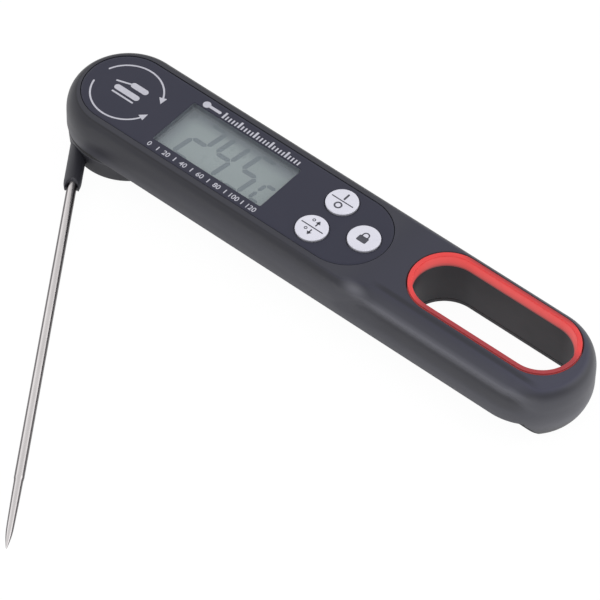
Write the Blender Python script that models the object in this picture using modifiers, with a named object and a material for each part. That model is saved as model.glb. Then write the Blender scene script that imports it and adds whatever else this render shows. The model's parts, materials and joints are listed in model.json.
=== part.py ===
"""Folding digital meat thermometer.

A long rounded handle with a display, three keys and a finger slot, and a stainless probe that
swings out of a channel along one side of the handle on a round hub under the head.

Frame: the origin is on the hub's axis at the flat back, +X runs to the tail, +Z out of the
display face, and the folded probe lies on the -Y side. All lengths are in millimetres; MM turns
them into metres. Cutters run loosely past the surfaces they open.
"""

import math

import bmesh
import bpy
from mathutils import Matrix, Vector

MM = 0.001

# ---------------------------------------------------------------- driving dimensions
BODY_R = 15.1            # half width of the handle, and radius of both ends
BODY_LENGTH = 124.5      # head centre to tail centre
BODY_DEPTH = 17.0        # back plane to face plane
BACK_COVER_Z = 1.4       # thickness of the back cover
SEAM = 0.25              # gap between cover and housing

FACE_Y = 0.3             # centre line of faceplate and keys
FACE_R = 11.25           # half width of the faceplate
FACE_X0, FACE_X1 = -0.75, 68.4      # centres of its round ends
FACE_THICK = 1.0

SLOT_X0, SLOT_X1, SLOT_Y = 97.27, 124.84, 2.73      # centres of the finger slot's round ends
LINER_R, LINER_IN_R = 9.65, 8.5
LINER_Z = (13.5, 17.15)

PROBE_Y, PROBE_Z = -11.4, 3.0       # the probe's line when folded
PROBE_OPEN = -56.0       # degrees from folded, in the rest pose
SPINDLE_R = 4.6

BATTERY = (64.0, 1.0)
BOARD_Z = (9.4, 10.6)
COVER_SCREWS = ((19.0, -4.6), (18.6, 6.4), (88.3, -5.4), (87.6, 10.0))
BOARD_SCREWS = ((53.8, 8.75), (53.8, -8.2))

# ---------------------------------------------------------------- scene and materials
for old in list(bpy.data.objects):
    bpy.data.objects.remove(old, do_unlink=True)

PARTS = bpy.data.collections.new("meat_thermometer")
CUTTERS = bpy.data.collections.new("cutters")
bpy.context.scene.collection.children.link(PARTS)
bpy.context.scene.collection.children.link(CUTTERS)

# Finish: (red, green, blue), roughness, metallic, alpha
FINISHES = {
    "housing_plastic": ((0.060, 0.060, 0.070), 0.48, 0.0, 1.0),
    "faceplate_plastic": ((0.052, 0.050, 0.068), 0.42, 0.0, 1.0),
    "clear_window": ((0.85, 0.88, 0.88), 0.05, 0.0, 0.25),
    "display_glass": ((0.33, 0.36, 0.35), 0.25, 0.0, 1.0),
    "key_plastic": ((0.78, 0.78, 0.86), 0.40, 0.0, 1.0),
    "liner_red": ((0.80, 0.09, 0.09), 0.40, 0.0, 1.0),
    "hub_plastic": ((0.045, 0.045, 0.052), 0.50, 0.0, 1.0),
    "stainless_steel": ((0.62, 0.60, 0.58), 0.28, 1.0, 1.0),
    "board_green": ((0.03, 0.16, 0.07), 0.45, 0.0, 1.0),
    "chip_black": ((0.02, 0.02, 0.02), 0.30, 0.0, 1.0),
    "grey_rubber": ((0.20, 0.20, 0.21), 0.75, 0.0, 1.0),
    "black_rubber": ((0.02, 0.02, 0.02), 0.70, 0.0, 1.0),
    "screw_steel": ((0.55, 0.55, 0.57), 0.35, 1.0, 1.0),
    "contact_nickel": ((0.70, 0.68, 0.62), 0.30, 1.0, 1.0),
    "cell_steel": ((0.66, 0.66, 0.68), 0.22, 1.0, 1.0),
    "white_plastic": ((0.70, 0.70, 0.68), 0.50, 0.0, 1.0),
    "wire_red": ((0.55, 0.03, 0.03), 0.50, 0.0, 1.0),
    "wire_black": ((0.02, 0.02, 0.02), 0.50, 0.0, 1.0),
    "sensor_epoxy": ((0.03, 0.03, 0.04), 0.30, 0.0, 1.0),
}


def material(name, finish):
    rgb, roughness, metallic, alpha = FINISHES[finish]
    mat = bpy.data.materials.new(name)
    mat.use_nodes = True
    shader = mat.node_tree.nodes["Principled BSDF"]
    shader.inputs["Base Color"].default_value = (*rgb, 1.0)
    shader.inputs["Roughness"].default_value = roughness
    shader.inputs["Metallic"].default_value = metallic
    shader.inputs["Alpha"].default_value = alpha
    mat.diffuse_color = (*rgb, alpha)
    return mat


# ---------------------------------------------------------------- solids
# In all of these, a piece with a finish is a part with its own material; without one, a cutter.
# Arguments x, y and z of plates, boxes and cylinders are (from, to) pairs.
def place(name, mesh, finish=None, at=(0.0, 0.0, 0.0)):
    obj = bpy.data.objects.new(name, mesh)
    obj.location = [c * MM for c in at]
    if finish is None:
        CUTTERS.objects.link(obj)
        obj.hide_render = True
        obj.display_type = "WIRE"
    else:
        PARTS.objects.link(obj)
        mesh.materials.append(material(name + "_material", finish))
    return obj


def from_bmesh(name, bm):
    bmesh.ops.recalc_face_normals(bm, faces=bm.faces)
    mesh = bpy.data.meshes.new(name)
    bm.to_mesh(mesh)
    bm.free()
    return mesh


def curve_mesh(name, curve, points_of_splines, cyclic):
    """Draws poly splines on the curve and turns it into a welded mesh; the curve is removed."""
    for points in points_of_splines:
        spline = curve.splines.new("POLY")
        spline.points.add(len(points) - 1)
        for point, (x, y, z) in zip(spline.points, points):
            point.co = (x * MM, y * MM, z * MM, 1.0)
        spline.use_cyclic_u = cyclic
    drawn = bpy.data.objects.new(name + "_curve", curve)
    CUTTERS.objects.link(drawn)
    bpy.context.view_layer.update()
    graph = bpy.context.evaluated_depsgraph_get()
    mesh = bpy.data.meshes.new_from_object(drawn.evaluated_get(graph))
    mesh.name = name
    mesh.materials.clear()
    bm = bmesh.new()
    bm.from_mesh(mesh)
    bmesh.ops.remove_doubles(bm, verts=bm.verts, dist=0.002 * MM)
    bmesh.ops.recalc_face_normals(bm, faces=bm.faces)
    bm.to_mesh(mesh)
    bm.free()
    bpy.data.objects.remove(drawn)
    bpy.data.curves.remove(curve)
    return mesh


def plate(name, loops, z, finish=None):
    """A flat outline, with any further loops as holes."""
    curve = bpy.data.curves.new(name, "CURVE")
    curve.dimensions = "2D"
    curve.fill_mode = "BOTH"
    curve.extrude = (z[1] - z[0]) / 2 * MM
    flat = [[(px, py, 0.0) for px, py in loop] for loop in loops]
    mesh = curve_mesh(name, curve, flat, cyclic=True)
    mesh.transform(Matrix.Translation(Vector((0, 0, (z[0] + z[1]) / 2)) * MM))
    return place(name, mesh, finish)


def wire(name, points, radius, finish):
    """A wire along a poly line, with filled ends."""
    curve = bpy.data.curves.new(name, "CURVE")
    curve.dimensions = "3D"
    curve.bevel_depth = radius * MM
    curve.bevel_resolution = 1
    curve.use_fill_caps = True
    return place(name, curve_mesh(name, curve, [points], cyclic=False), finish)


def box(name, x, y, z, finish=None):
    bm = bmesh.new()
    bmesh.ops.create_cube(bm, size=1.0)
    for vert in bm.verts:
        vert.co = Vector(
            [(lo + hi) / 2 + c * (hi - lo) for c, (lo, hi) in zip(vert.co, (x, y, z))]
        ) * MM
    return place(name, from_bmesh(name, bm), finish)


def cylinder(name, radius, z, segments, at=(0.0, 0.0), finish=None):
    bm = bmesh.new()
    bmesh.ops.create_cone(
        bm,
        cap_ends=True,
        segments=segments,
        radius1=radius * MM,
        radius2=radius * MM,
        depth=(z[1] - z[0]) * MM,
    )
    bmesh.ops.translate(bm, verts=bm.verts, vec=(0, 0, (z[0] + z[1]) / 2 * MM))
    return place(name, from_bmesh(name, bm), finish, (*at, 0.0))


def turned(name, profile, segments, finish=None, at=(0.0, 0.0)):
    """Turns a profile of (radius, z) about Z; it is closed except along the axis."""
    bm = bmesh.new()
    verts = [bm.verts.new((r * MM, 0.0, z * MM)) for r, z in profile]
    for a, b in zip(verts, verts[1:] + verts[:1]):
        if a.co.x != 0 or b.co.x != 0:
            bm.edges.new((a, b))
    mesh = bpy.data.meshes.new(name)
    bm.to_mesh(mesh)
    bm.free()
    obj = place(name, mesh, finish, (*at, 0.0))
    screw = obj.modifiers.new("Turn", "SCREW")
    screw.axis = "Z"
    screw.angle = math.tau
    screw.steps = segments
    screw.render_steps = segments
    screw.use_merge_vertices = True
    screw.merge_threshold = 0.002 * MM
    screw.use_smooth_shade = True
    return obj


def boolean(obj, cutter, operation="DIFFERENCE"):
    modifier = obj.modifiers.new(cutter.name, "BOOLEAN")
    modifier.operation = operation
    modifier.solver = "EXACT"
    modifier.object = cutter


# ---------------------------------------------------------------- outlines and numbers
def grown(pair, by):
    return (pair[0] - by, pair[1] + by)


def around(centre, half):
    return (centre - half, centre + half)


def rectangle(x, y):
    return [(x[0], y[0]), (x[1], y[0]), (x[1], y[1]), (x[0], y[1])]


def circle(x, y, r, n):
    return [
        (x + r * math.cos(math.tau * k / n), y + r * math.sin(math.tau * k / n))
        for k in range(n)
    ]


def arc(x, y, r, start, end, n):
    """Points of an arc between two angles in degrees, both ends included."""
    angles = [math.radians(start + (end - start) * k / n) for k in range(n + 1)]
    return [(x + r * math.cos(a), y + r * math.sin(a)) for a in angles]


def stadium(x0, x1, y, r, n):
    """A slot shape: two half circles of radius r joined by straight sides."""
    return arc(x1, y, r, -90, 90, n) + arc(x0, y, r, 90, 270, n)


def finger_slot(r, n):
    return stadium(SLOT_X0, SLOT_X1, SLOT_Y, r, n)


def open_ring(x, y, r_out, r_in, half, n):
    """A C shape that spans half degrees to each side of +X."""
    return arc(x, y, r_out, -half, half, n) + arc(x, y, r_in, half, -half, n)


def square_headed(x0, r, n):
    """A square end at x0 and a round end in line with the faceplate's tail end."""
    round_end = arc(FACE_X1, FACE_Y, r, -90, 90, n)
    return [(x0, FACE_Y - r)] + round_end + [(x0, FACE_Y + r)]


def smooth_path(points, per_span):
    """Catmull-Rom points through the given ones, so a wire bends softly."""
    pts = [Vector(p) for p in points]
    pts = [pts[0] * 2 - pts[1]] + pts + [pts[-1] * 2 - pts[-2]]
    out = []
    for a, b, c, d in zip(pts, pts[1:], pts[2:], pts[3:]):
        for k in range(per_span):
            t = k / per_span
            linear = (c - a) * t
            square = (2 * a - 5 * b + 4 * c - d) * t * t
            cubic = (3 * b - a - 3 * c + d) * t**3
            out.append(tuple(0.5 * (2 * b + linear + square + cubic)))
    out.append(tuple(pts[-2]))
    return out


def smoothstep(a, b, x):
    t = min(1.0, max(0.0, (x - a) / (b - a)))
    return t * t * (3 - 2 * t)


def blend(a, b, t):
    return a + t * (b - a)


# ---------------------------------------------------------------- the handle's outer form
SHOULDER_IN = 3.0        # how far the shoulder rounds in at the face
SHOULDER_DOWN = 5.5      # how far the shoulder runs down the side
# How far the back edge rounds in, and how far up the side it starts: (elsewhere, +Y side)
BACK_ROUND_IN = (4.6, 2.3)
BACK_ROUND_UP = (8.0, 6.0)

GRIP_START, GRIP_FULL = 76.0, 85.0      # where the finger groove comes in
GRIP_FADE, GRIP_END = 128.0, 137.0      # where it goes out
# The grip's section on the -Y side: a sloping top down to a soft ridge, then a finger groove
# that flares out again below. Pairs of (depth below the face, distance in from the full width).
GRIP_SECTION = (
    (0.0, 6.1), (0.35, 4.9), (1.0, 3.6), (1.75, 2.6), (2.6, 1.95), (4.2, 1.85), (6.2, 1.45),
)
# x of the outline's points along each straight side, in order round the handle
NEAR_SIDE_X = (0, 14, 28, 44, 60, 70, 75, 77, 79, 81, 83, 85, 90, 98, 106, 114, 120)
FAR_SIDE_X = (106, 85, 60, 28)


def section(x, normal_y):
    """(depth, inset) pairs down the side of the handle at one outline point."""
    groove = smoothstep(GRIP_START, GRIP_FULL, x) * (1 - smoothstep(GRIP_FADE, GRIP_END, x))
    groove *= smoothstep(0.3, 0.95, -normal_y)
    levels = []
    for k, (grip_depth, grip_inset) in enumerate(GRIP_SECTION):
        a = math.radians(15 * k)
        depth = SHOULDER_DOWN * (1 - math.cos(a))
        inset = SHOULDER_IN * (1 - math.sin(a))
        levels.append((blend(depth, grip_depth, groove), blend(inset, grip_inset, groove)))
    far = smoothstep(0.2, 1.0, normal_y)
    round_in = blend(*BACK_ROUND_IN, far)
    round_up = blend(*BACK_ROUND_UP, far)
    for k in range(6):
        a = math.radians(18 * k)
        depth = BODY_DEPTH - round_up + round_up * math.sin(a)
        levels.append((depth, round_in * (1 - math.cos(a))))
    return levels


def end_stations(centre_x, start, steps, count):
    """Outline points round an end of the handle, steps of them to the half turn."""
    stations = []
    for k in range(count):
        a = math.radians(start + 180 * k / steps)
        nx, ny = math.cos(a), math.sin(a)
        stations.append((centre_x + BODY_R * nx, BODY_R * ny, nx, ny))
    return stations


def handle_form(name):
    """The handle's closed outer form: a ring of points per level, with flat face and back."""
    # Station: x, y, and the outward normal's x, y
    stations = [(x, -BODY_R, 0.0, -1.0) for x in NEAR_SIDE_X]
    stations += end_stations(BODY_LENGTH, -90, 22, 23)
    stations += [(x, BODY_R, 0.0, 1.0) for x in FAR_SIDE_X]
    stations += end_stations(0.0, 90, 20, 20)
    sections = [section(x, ny) for x, _, _, ny in stations]
    bm = bmesh.new()
    rings = []
    for level in zip(*sections):
        ring = []
        for (x, y, nx, ny), (depth, inset) in zip(stations, level):
            co = Vector((x - nx * inset, y - ny * inset, BODY_DEPTH - depth)) * MM
            ring.append(bm.verts.new(co))
        rings.append(ring)
    n = len(stations)
    for upper, lower in zip(rings, rings[1:]):
        for i in range(n):
            j = (i + 1) % n
            bm.faces.new((upper[i], lower[i], lower[j], upper[j]))
    bm.faces.new(rings[0])
    bm.faces.new(list(reversed(rings[-1])))
    return from_bmesh(name, bm)


# ---------------------------------------------------------------- room for hub and probe
CHANNEL_WALL_Y = -8.4    # inner wall of the probe channel
HUB_CLEAR_R = 15.0       # concave end of the lower body, round the hub
HUB_CLEAR_END = 40       # degrees, where the concave end stops on the +Y side
# The channel's end wall at the tail, rounded into its roof. Pairs of (z, x).
CHANNEL_END = (
    (-6.0, 134.8), (3.0, 134.65), (4.4, 134.4), (5.6, 133.95), (6.4, 133.3), (7.0, 132.4),
)
CHANNEL_END_SLANT = 0.6  # how much nearer the head the end wall is at the cutter's outer edge
# Outer edge of the cutter, clear of the handle
CLEAR_Y = 22.0
CLEAR_CORNERS = [(12.6, CLEAR_Y), (-20.0, CLEAR_Y), (-20.0, -CLEAR_Y)]


def under_cut(name):
    """The space under the shell round the hub, and the channel for the folded probe."""
    start = math.degrees(math.asin(CHANNEL_WALL_Y / HUB_CLEAR_R))
    bm = bmesh.new()
    rings = []
    for z, end_x in CHANNEL_END:
        loop = arc(0, 0, HUB_CLEAR_R, start, HUB_CLEAR_END, 16) + CLEAR_CORNERS
        loop += [(end_x - CHANNEL_END_SLANT, -CLEAR_Y), (end_x, CHANNEL_WALL_Y)]
        rings.append([bm.verts.new(Vector((x, y, z)) * MM) for x, y in loop])
    n = len(rings[0])
    for lower, upper in zip(rings, rings[1:]):
        for i in range(n):
            j = (i + 1) % n
            bm.faces.new((lower[i], lower[j], upper[j], upper[i]))
    bm.faces.new(list(reversed(rings[0])))
    bm.faces.new(rings[-1])
    return place(name, from_bmesh(name, bm))


# ---------------------------------------------------------------- housing
LEDGE_Z = 15.7           # ledge that carries the faceplate
FACE_GAP = 0.22
FRONT_CAVITY_X0, FRONT_CAVITY_R = -1.4, 10.4
FLOOR_Z = 8.8            # floor of the front cavity
BACK_CAVITY = ((22.0, 82.0), (-6.4, 7.2), (-3, 9.6))
BATTERY_BAY_R, BATTERY_BAY_Z = 7.7, (-3, 9.5)
SLOT_WALL_R = 8.9
LINER_GAP = 0.2
SPINDLE_BORE_R = 4.9
SEAL_GROOVE = [(5.5, 7.9), (7.0, 7.9), (7.0, 5.0), (5.5, 5.0)]
COVER_PILOT_R, COVER_PILOT_Z = 1.1, (-2, 7.2)
BOARD_PILOT_R, BOARD_PILOT_Z = 0.85, (7.6, 12)
HANDLE_SPAN = ((-30, 160), (-30, 30))       # x and y of the boxes that split the handle


def build_housing(hub_room, slot_hole):
    housing = place("main_housing", handle_form("main_housing"), "housing_plastic")
    pocket = stadium(FACE_X0, FACE_X1, FACE_Y, FACE_R + FACE_GAP, 20)
    cavity = stadium(FRONT_CAVITY_X0, FACE_X1, FACE_Y, FRONT_CAVITY_R, 20)
    seat = finger_slot(LINER_R + LINER_GAP, 20)
    cutters = [
        box("cut_below_seam", *HANDLE_SPAN, (-5, BACK_COVER_Z + SEAM)),
        hub_room,
        plate("cut_face_pocket", [pocket], (LEDGE_Z, 20)),
        plate("cut_front_cavity", [cavity], (FLOOR_Z, 18)),
        box("cut_back_cavity", *BACK_CAVITY),
        cylinder("cut_battery_bay", BATTERY_BAY_R, BATTERY_BAY_Z, 40, BATTERY),
        slot_hole,
        plate("cut_liner_seat", [seat], (LINER_Z[0] - LINER_GAP, 24)),
        cylinder("cut_spindle_bore", SPINDLE_BORE_R, (4, 12), 40),
        turned("cut_seal_groove", SEAL_GROOVE, 40),
    ]
    for number, at in enumerate(COVER_SCREWS, 1):
        name = f"cut_cover_pilot_{number}"
        cutters.append(cylinder(name, COVER_PILOT_R, COVER_PILOT_Z, 16, at))
    for number, at in enumerate(BOARD_SCREWS, 1):
        name = f"cut_board_pilot_{number}"
        cutters.append(cylinder(name, BOARD_PILOT_R, BOARD_PILOT_Z, 14, at))
    for cutter in cutters:
        boolean(housing, cutter)


# ---------------------------------------------------------------- back cover and battery door
DOOR_BOSS_R, DOOR_BOSS_Z = 7.4, (0.9, 2.0)
DOOR_SEAT_R, DOOR_SEAT_Z = 7.15, (-3, 1.3)
THROAT_R, THROAT_LUG_R = 6.3, 7.05
DOOR_LUG_IN_R, DOOR_LUG_R, DOOR_LUG_Z = 5.7, 6.9, (2.2, 2.8)
# Lug angles, in degrees
LUG_ANGLES = (90.0, 210.0, 330.0)
LUG_HALF = 15.0
LUG_CLEARANCE = 3        # extra half width of the throat's lug openings
UNLOCK = 60.0            # turn from the locked pose to the throat's lug openings
COVER_HOLE_R, COVER_HOLE_Z = 1.15, (-2, 4)
COVER_SINK_R, COVER_SINK_Z = 2.0, (-2, 0.9)
DOOR_PROFILE = [
    (0, 2.25), (5.95, 2.25), (5.95, 0.7), (6.9, 0.7), (6.9, 0.25), (6.65, 0.0), (0, 0),
]
DOOR_SEAL_PROFILE = [(6.15, 1.2), (6.85, 1.2), (6.85, 0.8), (6.15, 0.8)]
COIN_SLOT_HALF_X, COIN_SLOT_HALF_Y, COIN_SLOT_Z = 4.6, 0.8, (-2, 0.55)


def lugged(r_in, r_out, half, turn):
    """A circle of radius r_in with three lugs out to r_out."""
    loop = []
    for angle in LUG_ANGLES:
        a = angle + turn
        loop += arc(*BATTERY, r_out, a - half, a + half, 4)
        loop += arc(*BATTERY, r_in, a + half, a + 120 - half, 10)
    return loop


def build_back_cover(hub_room, slot_hole):
    back = place("back_cover", handle_form("back_cover"), "housing_plastic")
    above_seam = box("cut_above_seam", *HANDLE_SPAN, (BACK_COVER_Z, 30))
    for cutter in (above_seam, hub_room, slot_hole):
        boolean(back, cutter)
    boolean(back, cylinder("join_door_boss", DOOR_BOSS_R, DOOR_BOSS_Z, 36, BATTERY), "UNION")
    boolean(back, cylinder("cut_door_seat", DOOR_SEAT_R, DOOR_SEAT_Z, 36, BATTERY))
    throat = lugged(THROAT_R, THROAT_LUG_R, LUG_HALF + LUG_CLEARANCE, UNLOCK)
    boolean(back, plate("cut_door_throat", [throat], (-3, 5)))
    for number, at in enumerate(COVER_SCREWS, 1):
        boolean(back, cylinder(f"cut_cover_hole_{number}", COVER_HOLE_R, COVER_HOLE_Z, 16, at))
        boolean(back, cylinder(f"cut_cover_sink_{number}", COVER_SINK_R, COVER_SINK_Z, 24, at))


def build_battery_door():
    door = turned("battery_door", DOOR_PROFILE, 36, "housing_plastic", BATTERY)
    lugs = lugged(DOOR_LUG_IN_R, DOOR_LUG_R, LUG_HALF, 0.0)
    boolean(door, plate("join_door_lugs", [lugs], DOOR_LUG_Z), "UNION")
    x, y = BATTERY
    slot_x, slot_y = around(x, COIN_SLOT_HALF_X), around(y, COIN_SLOT_HALF_Y)
    boolean(door, box("cut_coin_slot", slot_x, slot_y, COIN_SLOT_Z))
    turned("battery_door_seal", DOOR_SEAL_PROFILE, 30, "black_rubber", BATTERY)


# ---------------------------------------------------------------- faceplate and display
KEYS = {"power": (62.28, 5.93), "unit": (62.10, -5.13), "hold": (73.55, 0.40)}
KEY_HOLE_R = 4.35
WINDOW_X, WINDOW_Y = (14.3, 48.2), (-7.65, 7.85)
WINDOW_GAP, WINDOW_Z = 0.15, (16.05, 16.98)
FRAME_X, FRAME_Y, FRAME_Z = (12.0, 50.5), (-9.4, 9.6), (10.75, 15.6)
FRAME_GAP = 0.05         # frame opening beyond the window opening
GLASS_X, GLASS_Y, GLASS_Z = (13.25, 49.25), (-8.3, 8.5), (12.4, 14.4)
GLASS_GAP_X, GLASS_GAP_Y, GLASS_SEAT_Z = 0.2, 0.25, (5, 14.7)
CONNECTOR = ((15.0, 47.5), (6.6, 8.2), (10.8, 12.2))


def build_faceplate():
    loops = [stadium(FACE_X0, FACE_X1, FACE_Y, FACE_R, 20), rectangle(WINDOW_X, WINDOW_Y)]
    loops += [circle(x, y, KEY_HOLE_R, 24) for x, y in KEYS.values()]
    plate("faceplate", loops, (BODY_DEPTH - FACE_THICK, BODY_DEPTH), "faceplate_plastic")


def build_display():
    pane_x, pane_y = grown(WINDOW_X, -WINDOW_GAP), grown(WINDOW_Y, -WINDOW_GAP)
    box("lcd_window", pane_x, pane_y, WINDOW_Z, "clear_window")
    opening = rectangle(grown(WINDOW_X, FRAME_GAP), grown(WINDOW_Y, FRAME_GAP))
    frame = plate("lcd_frame", [rectangle(FRAME_X, FRAME_Y), opening], FRAME_Z, "chip_black")
    seat_x, seat_y = grown(GLASS_X, GLASS_GAP_X), grown(GLASS_Y, GLASS_GAP_Y)
    boolean(frame, box("cut_glass_seat", seat_x, seat_y, GLASS_SEAT_Z))
    box("lcd_glass", GLASS_X, GLASS_Y, GLASS_Z, "display_glass")
    box("lcd_connector", *CONNECTOR, "grey_rubber")


# ---------------------------------------------------------------- keys and their switches
KEY_R = 4.08
KEY_TOP_Z = BODY_DEPTH + 0.6
KEY_PROFILE = [
    (0, KEY_TOP_Z), (3.7, KEY_TOP_Z), (3.98, 17.48), (KEY_R, 17.2), (KEY_R, 15.6),
    (4.5, 15.6), (4.5, 14.9), (2.0, 14.9), (2.0, 12.5), (0, 12.5),
]
SWITCH_PROFILE = [(0, 11.1), (1.2, 11.05), (2.2, 10.85), (2.4, 10.7), (0, 10.7)]
MEMBRANE_X0, MEMBRANE_R, MEMBRANE_Z = 56.6, 9.3, (11.35, 11.75)


def build_keys():
    for key, at in KEYS.items():
        turned(f"{key}_button", KEY_PROFILE, 28, "key_plastic", at)
        turned(f"{key}_switch", SWITCH_PROFILE, 16, "contact_nickel", at)
    outline = square_headed(MEMBRANE_X0, MEMBRANE_R, 14)
    plate("keypad_membrane", [outline], MEMBRANE_Z, "grey_rubber")


# ---------------------------------------------------------------- circuit board and screws
BOARD_X0, BOARD_R, BOARD_HOLE_R = 13.0, 9.9, 0.95
CHIP_AT = (34.0, 0.4)
CHIP_PROFILE = [(0, 9.3), (4.2, 9.3), (4.0, 8.9), (3.2, 8.5), (2.0, 8.25), (0, 8.15)]
BOARD_SCREW_PROFILE = [
    (0, 11.2), (0.9, 11.15), (1.3, 10.95), (1.3, 10.7), (0.6, 10.7), (0.6, 8.0), (0.2, 7.8),
    (0, 7.8),
]
COVER_SCREW_PROFILE = [
    (0, 6.6), (0.3, 6.5), (0.8, 5.6), (0.8, 0.7), (1.7, 0.7), (1.7, 0.3), (1.3, 0.12),
    (0, 0.12),
]
DRIVE_LONG, DRIVE_WIDE, DRIVE_Z = 0.9, 0.18, (-1, 0.45)     # half sizes of the cross slots


def build_board():
    loops = [square_headed(BOARD_X0, BOARD_R, 16)]
    loops += [circle(x, y, BOARD_HOLE_R, 16) for x, y in BOARD_SCREWS]
    plate("circuit_board", loops, BOARD_Z, "board_green")
    turned("controller_chip", CHIP_PROFILE, 20, "chip_black", CHIP_AT)


def build_screws():
    for number, at in enumerate(BOARD_SCREWS, 1):
        turned(f"board_screw_{number}", BOARD_SCREW_PROFILE, 14, "screw_steel", at)
    slots = (("a", DRIVE_LONG, DRIVE_WIDE), ("b", DRIVE_WIDE, DRIVE_LONG))
    for number, (x, y) in enumerate(COVER_SCREWS, 1):
        screw = turned(f"cover_screw_{number}", COVER_SCREW_PROFILE, 16, "screw_steel", (x, y))
        for letter, half_x, half_y in slots:
            name = f"cut_drive_{number}_{letter}"
            boolean(screw, box(name, around(x, half_x), around(y, half_y), DRIVE_Z))


# ---------------------------------------------------------------- battery, its cup and contacts
CELL_R, CELL_Z0, CELL_Z1 = 5.8, 3.1, 8.5
CELL_PROFILE = [
    (0, CELL_Z1), (4.6, CELL_Z1), (4.75, CELL_Z1 - 0.35), (5.5, CELL_Z1 - 0.35),
    (CELL_R, CELL_Z1 - 0.65), (CELL_R, CELL_Z0 + 0.3), (5.5, CELL_Z0), (0, CELL_Z0),
]
CUP_R, CUP_IN_R, CUP_HALF_ANGLE, CUP_Z = 7.3, 6.15, 155, (3.3, 9.1)
# The side contact's bent strip, as (x, z)
POSITIVE_STRIP = [
    (57.0, 3.8), (57.3, 3.8), (57.3, 4.4), (57.85, 5.2), (57.85, 6.6), (57.5, 7.4),
    (57.5, 9.3), (54.4, 9.3), (54.4, 9.0), (57.2, 9.0), (57.2, 7.4), (57.55, 6.5),
    (57.55, 5.3), (57.0, 4.5),
]
POSITIVE_HALF_WIDTH = 1.6
NEGATIVE_PROFILE = [(0.0, 9.25), (3.6, 9.25), (3.6, 9.0), (2.4, 9.0), (1.2, 8.65), (0, 8.6)]


def build_battery():
    turned("coin_cell", CELL_PROFILE, 28, "cell_steel", BATTERY)
    cup = open_ring(*BATTERY, CUP_R, CUP_IN_R, CUP_HALF_ANGLE, 24)
    plate("battery_cup", [cup], CUP_Z, "white_plastic")
    width = around(0.0, POSITIVE_HALF_WIDTH)
    contact = plate("positive_contact", [POSITIVE_STRIP], width, "contact_nickel")
    contact.rotation_euler = (math.pi / 2, 0, 0)
    contact.location = (0, BATTERY[1] * MM, 0)
    turned("negative_contact", NEGATIVE_PROFILE, 18, "contact_nickel", BATTERY)


def build_slot_liner():
    """The red ring in the finger slot."""
    loops = [finger_slot(LINER_R, 18), finger_slot(LINER_IN_R, 18)]
    plate("slot_liner", loops, LINER_Z, "liner_red")


# ---------------------------------------------------------------- hub fixings on the handle
WASHER_PROFILE = [(4.95, 9.3), (6.3, 9.3), (6.3, 8.95), (4.95, 8.95)]
SEAL_R, SEAL_WIRE_R, SEAL_Z = 6.25, 0.45, 7.35
LEAD_R = 0.25
# The red lead's bends, as (x, y, z); the black one mirrors them in y
LEAD_PATH = (
    (0.5, 0.5, 11.2), (3.4, 2.2, 11.9), (7.6, 3.2, 10.9), (10.6, 3.4, 9.2), (14.4, 3.4, 9.12),
)


def build_hub_fixings():
    turned("friction_washer", WASHER_PROFILE, 28, "screw_steel")
    bpy.ops.mesh.primitive_torus_add(
        major_segments=28,
        minor_segments=6,
        major_radius=SEAL_R * MM,
        minor_radius=SEAL_WIRE_R * MM,
    )
    torus = bpy.context.object
    mesh = torus.data
    mesh.name = "hub_seal"
    place("hub_seal", mesh, "black_rubber", (0.0, 0.0, SEAL_Z))
    bpy.data.objects.remove(torus)


def build_leads():
    for colour, side in (("red", 1), ("black", -1)):
        path = smooth_path([(x, side * y, z) for x, y, z in LEAD_PATH], 3)
        wire(f"lead_wire_{colour}", path, LEAD_R, f"wire_{colour}")


# ---------------------------------------------------------------- the probe, modelled folded
HUB_R_TOP, HUB_R_LOW, HUB_TOP_Z = 14.6, 14.45, 6.7
# Spindle with its clip groove, down the hub's rim, then the recess in its underside and the bore
HUB_PROFILE = [
    (1.5, 10.7), (SPINDLE_R - 0.2, 10.7), (SPINDLE_R, 10.1), (4.0, 10.1), (4.0, 9.4),
    (SPINDLE_R, 9.4), (SPINDLE_R, HUB_TOP_Z), (HUB_R_TOP, HUB_TOP_Z), (HUB_R_LOW, 1.0),
    (14.3, 0.4), (13.8, 0.0), (11.3, 0.0), (11.3, 1.2), (9.8, 1.2), (9.8, 4.7), (1.5, 4.7),
]
CAP_PROFILE = [(0, 0.95), (11.0, 0.95), (11.0, 0.3), (10.7, 0.0), (0, 0.0)]
CLIP_R, CLIP_IN_R, CLIP_HALF_ANGLE, CLIP_Z = 6.2, 4.15, 150, (9.5, 10.0)

SLEEVE_R, SLEEVE_X0, SLEEVE_END_X = 2.2, 3.2, 20.9
SLEEVE_BORE_X, SLEEVE_BORE_GAP = 1.0, 0.25      # the sleeve's bore in the hub
SLEEVE_CUT_LENGTH = 40
NOTCH_R, NOTCH_IN = 1.7, 0.9        # round notch in the sleeve's end, its centre in from the end
NOTCH_OUT, NOTCH_MOUTH = 3, 1.9     # its reach past the end and half width there
TUBE_GAP = 0.2

TUBE_R, TUBE_TIP_R, TUBE_TIP_X = 1.22, 0.98, 131.5
# The tube's wall as (radius, x): outer side from the hub to the point, then back up the bore
TUBE_WALL = (
    (0.78, 4.0), (TUBE_R, 4.0), (TUBE_R, 111.0), (1.10, 111.8), (1.06, 116.0),
    (TUBE_TIP_R, 121.0), (0.88, 126.0), (0.62, 128.4), (0.34, 130.4), (0.16, 131.3),
    (0.0, TUBE_TIP_X), (0.0, 125.2), (0.45, 124.7), (0.60, 123.9), (0.60, 113.0), (0.78, 112.0),
)
BEAD_R, BEAD_X = 0.4, 124.0
SENSOR_WIRE_R = 0.2
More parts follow.
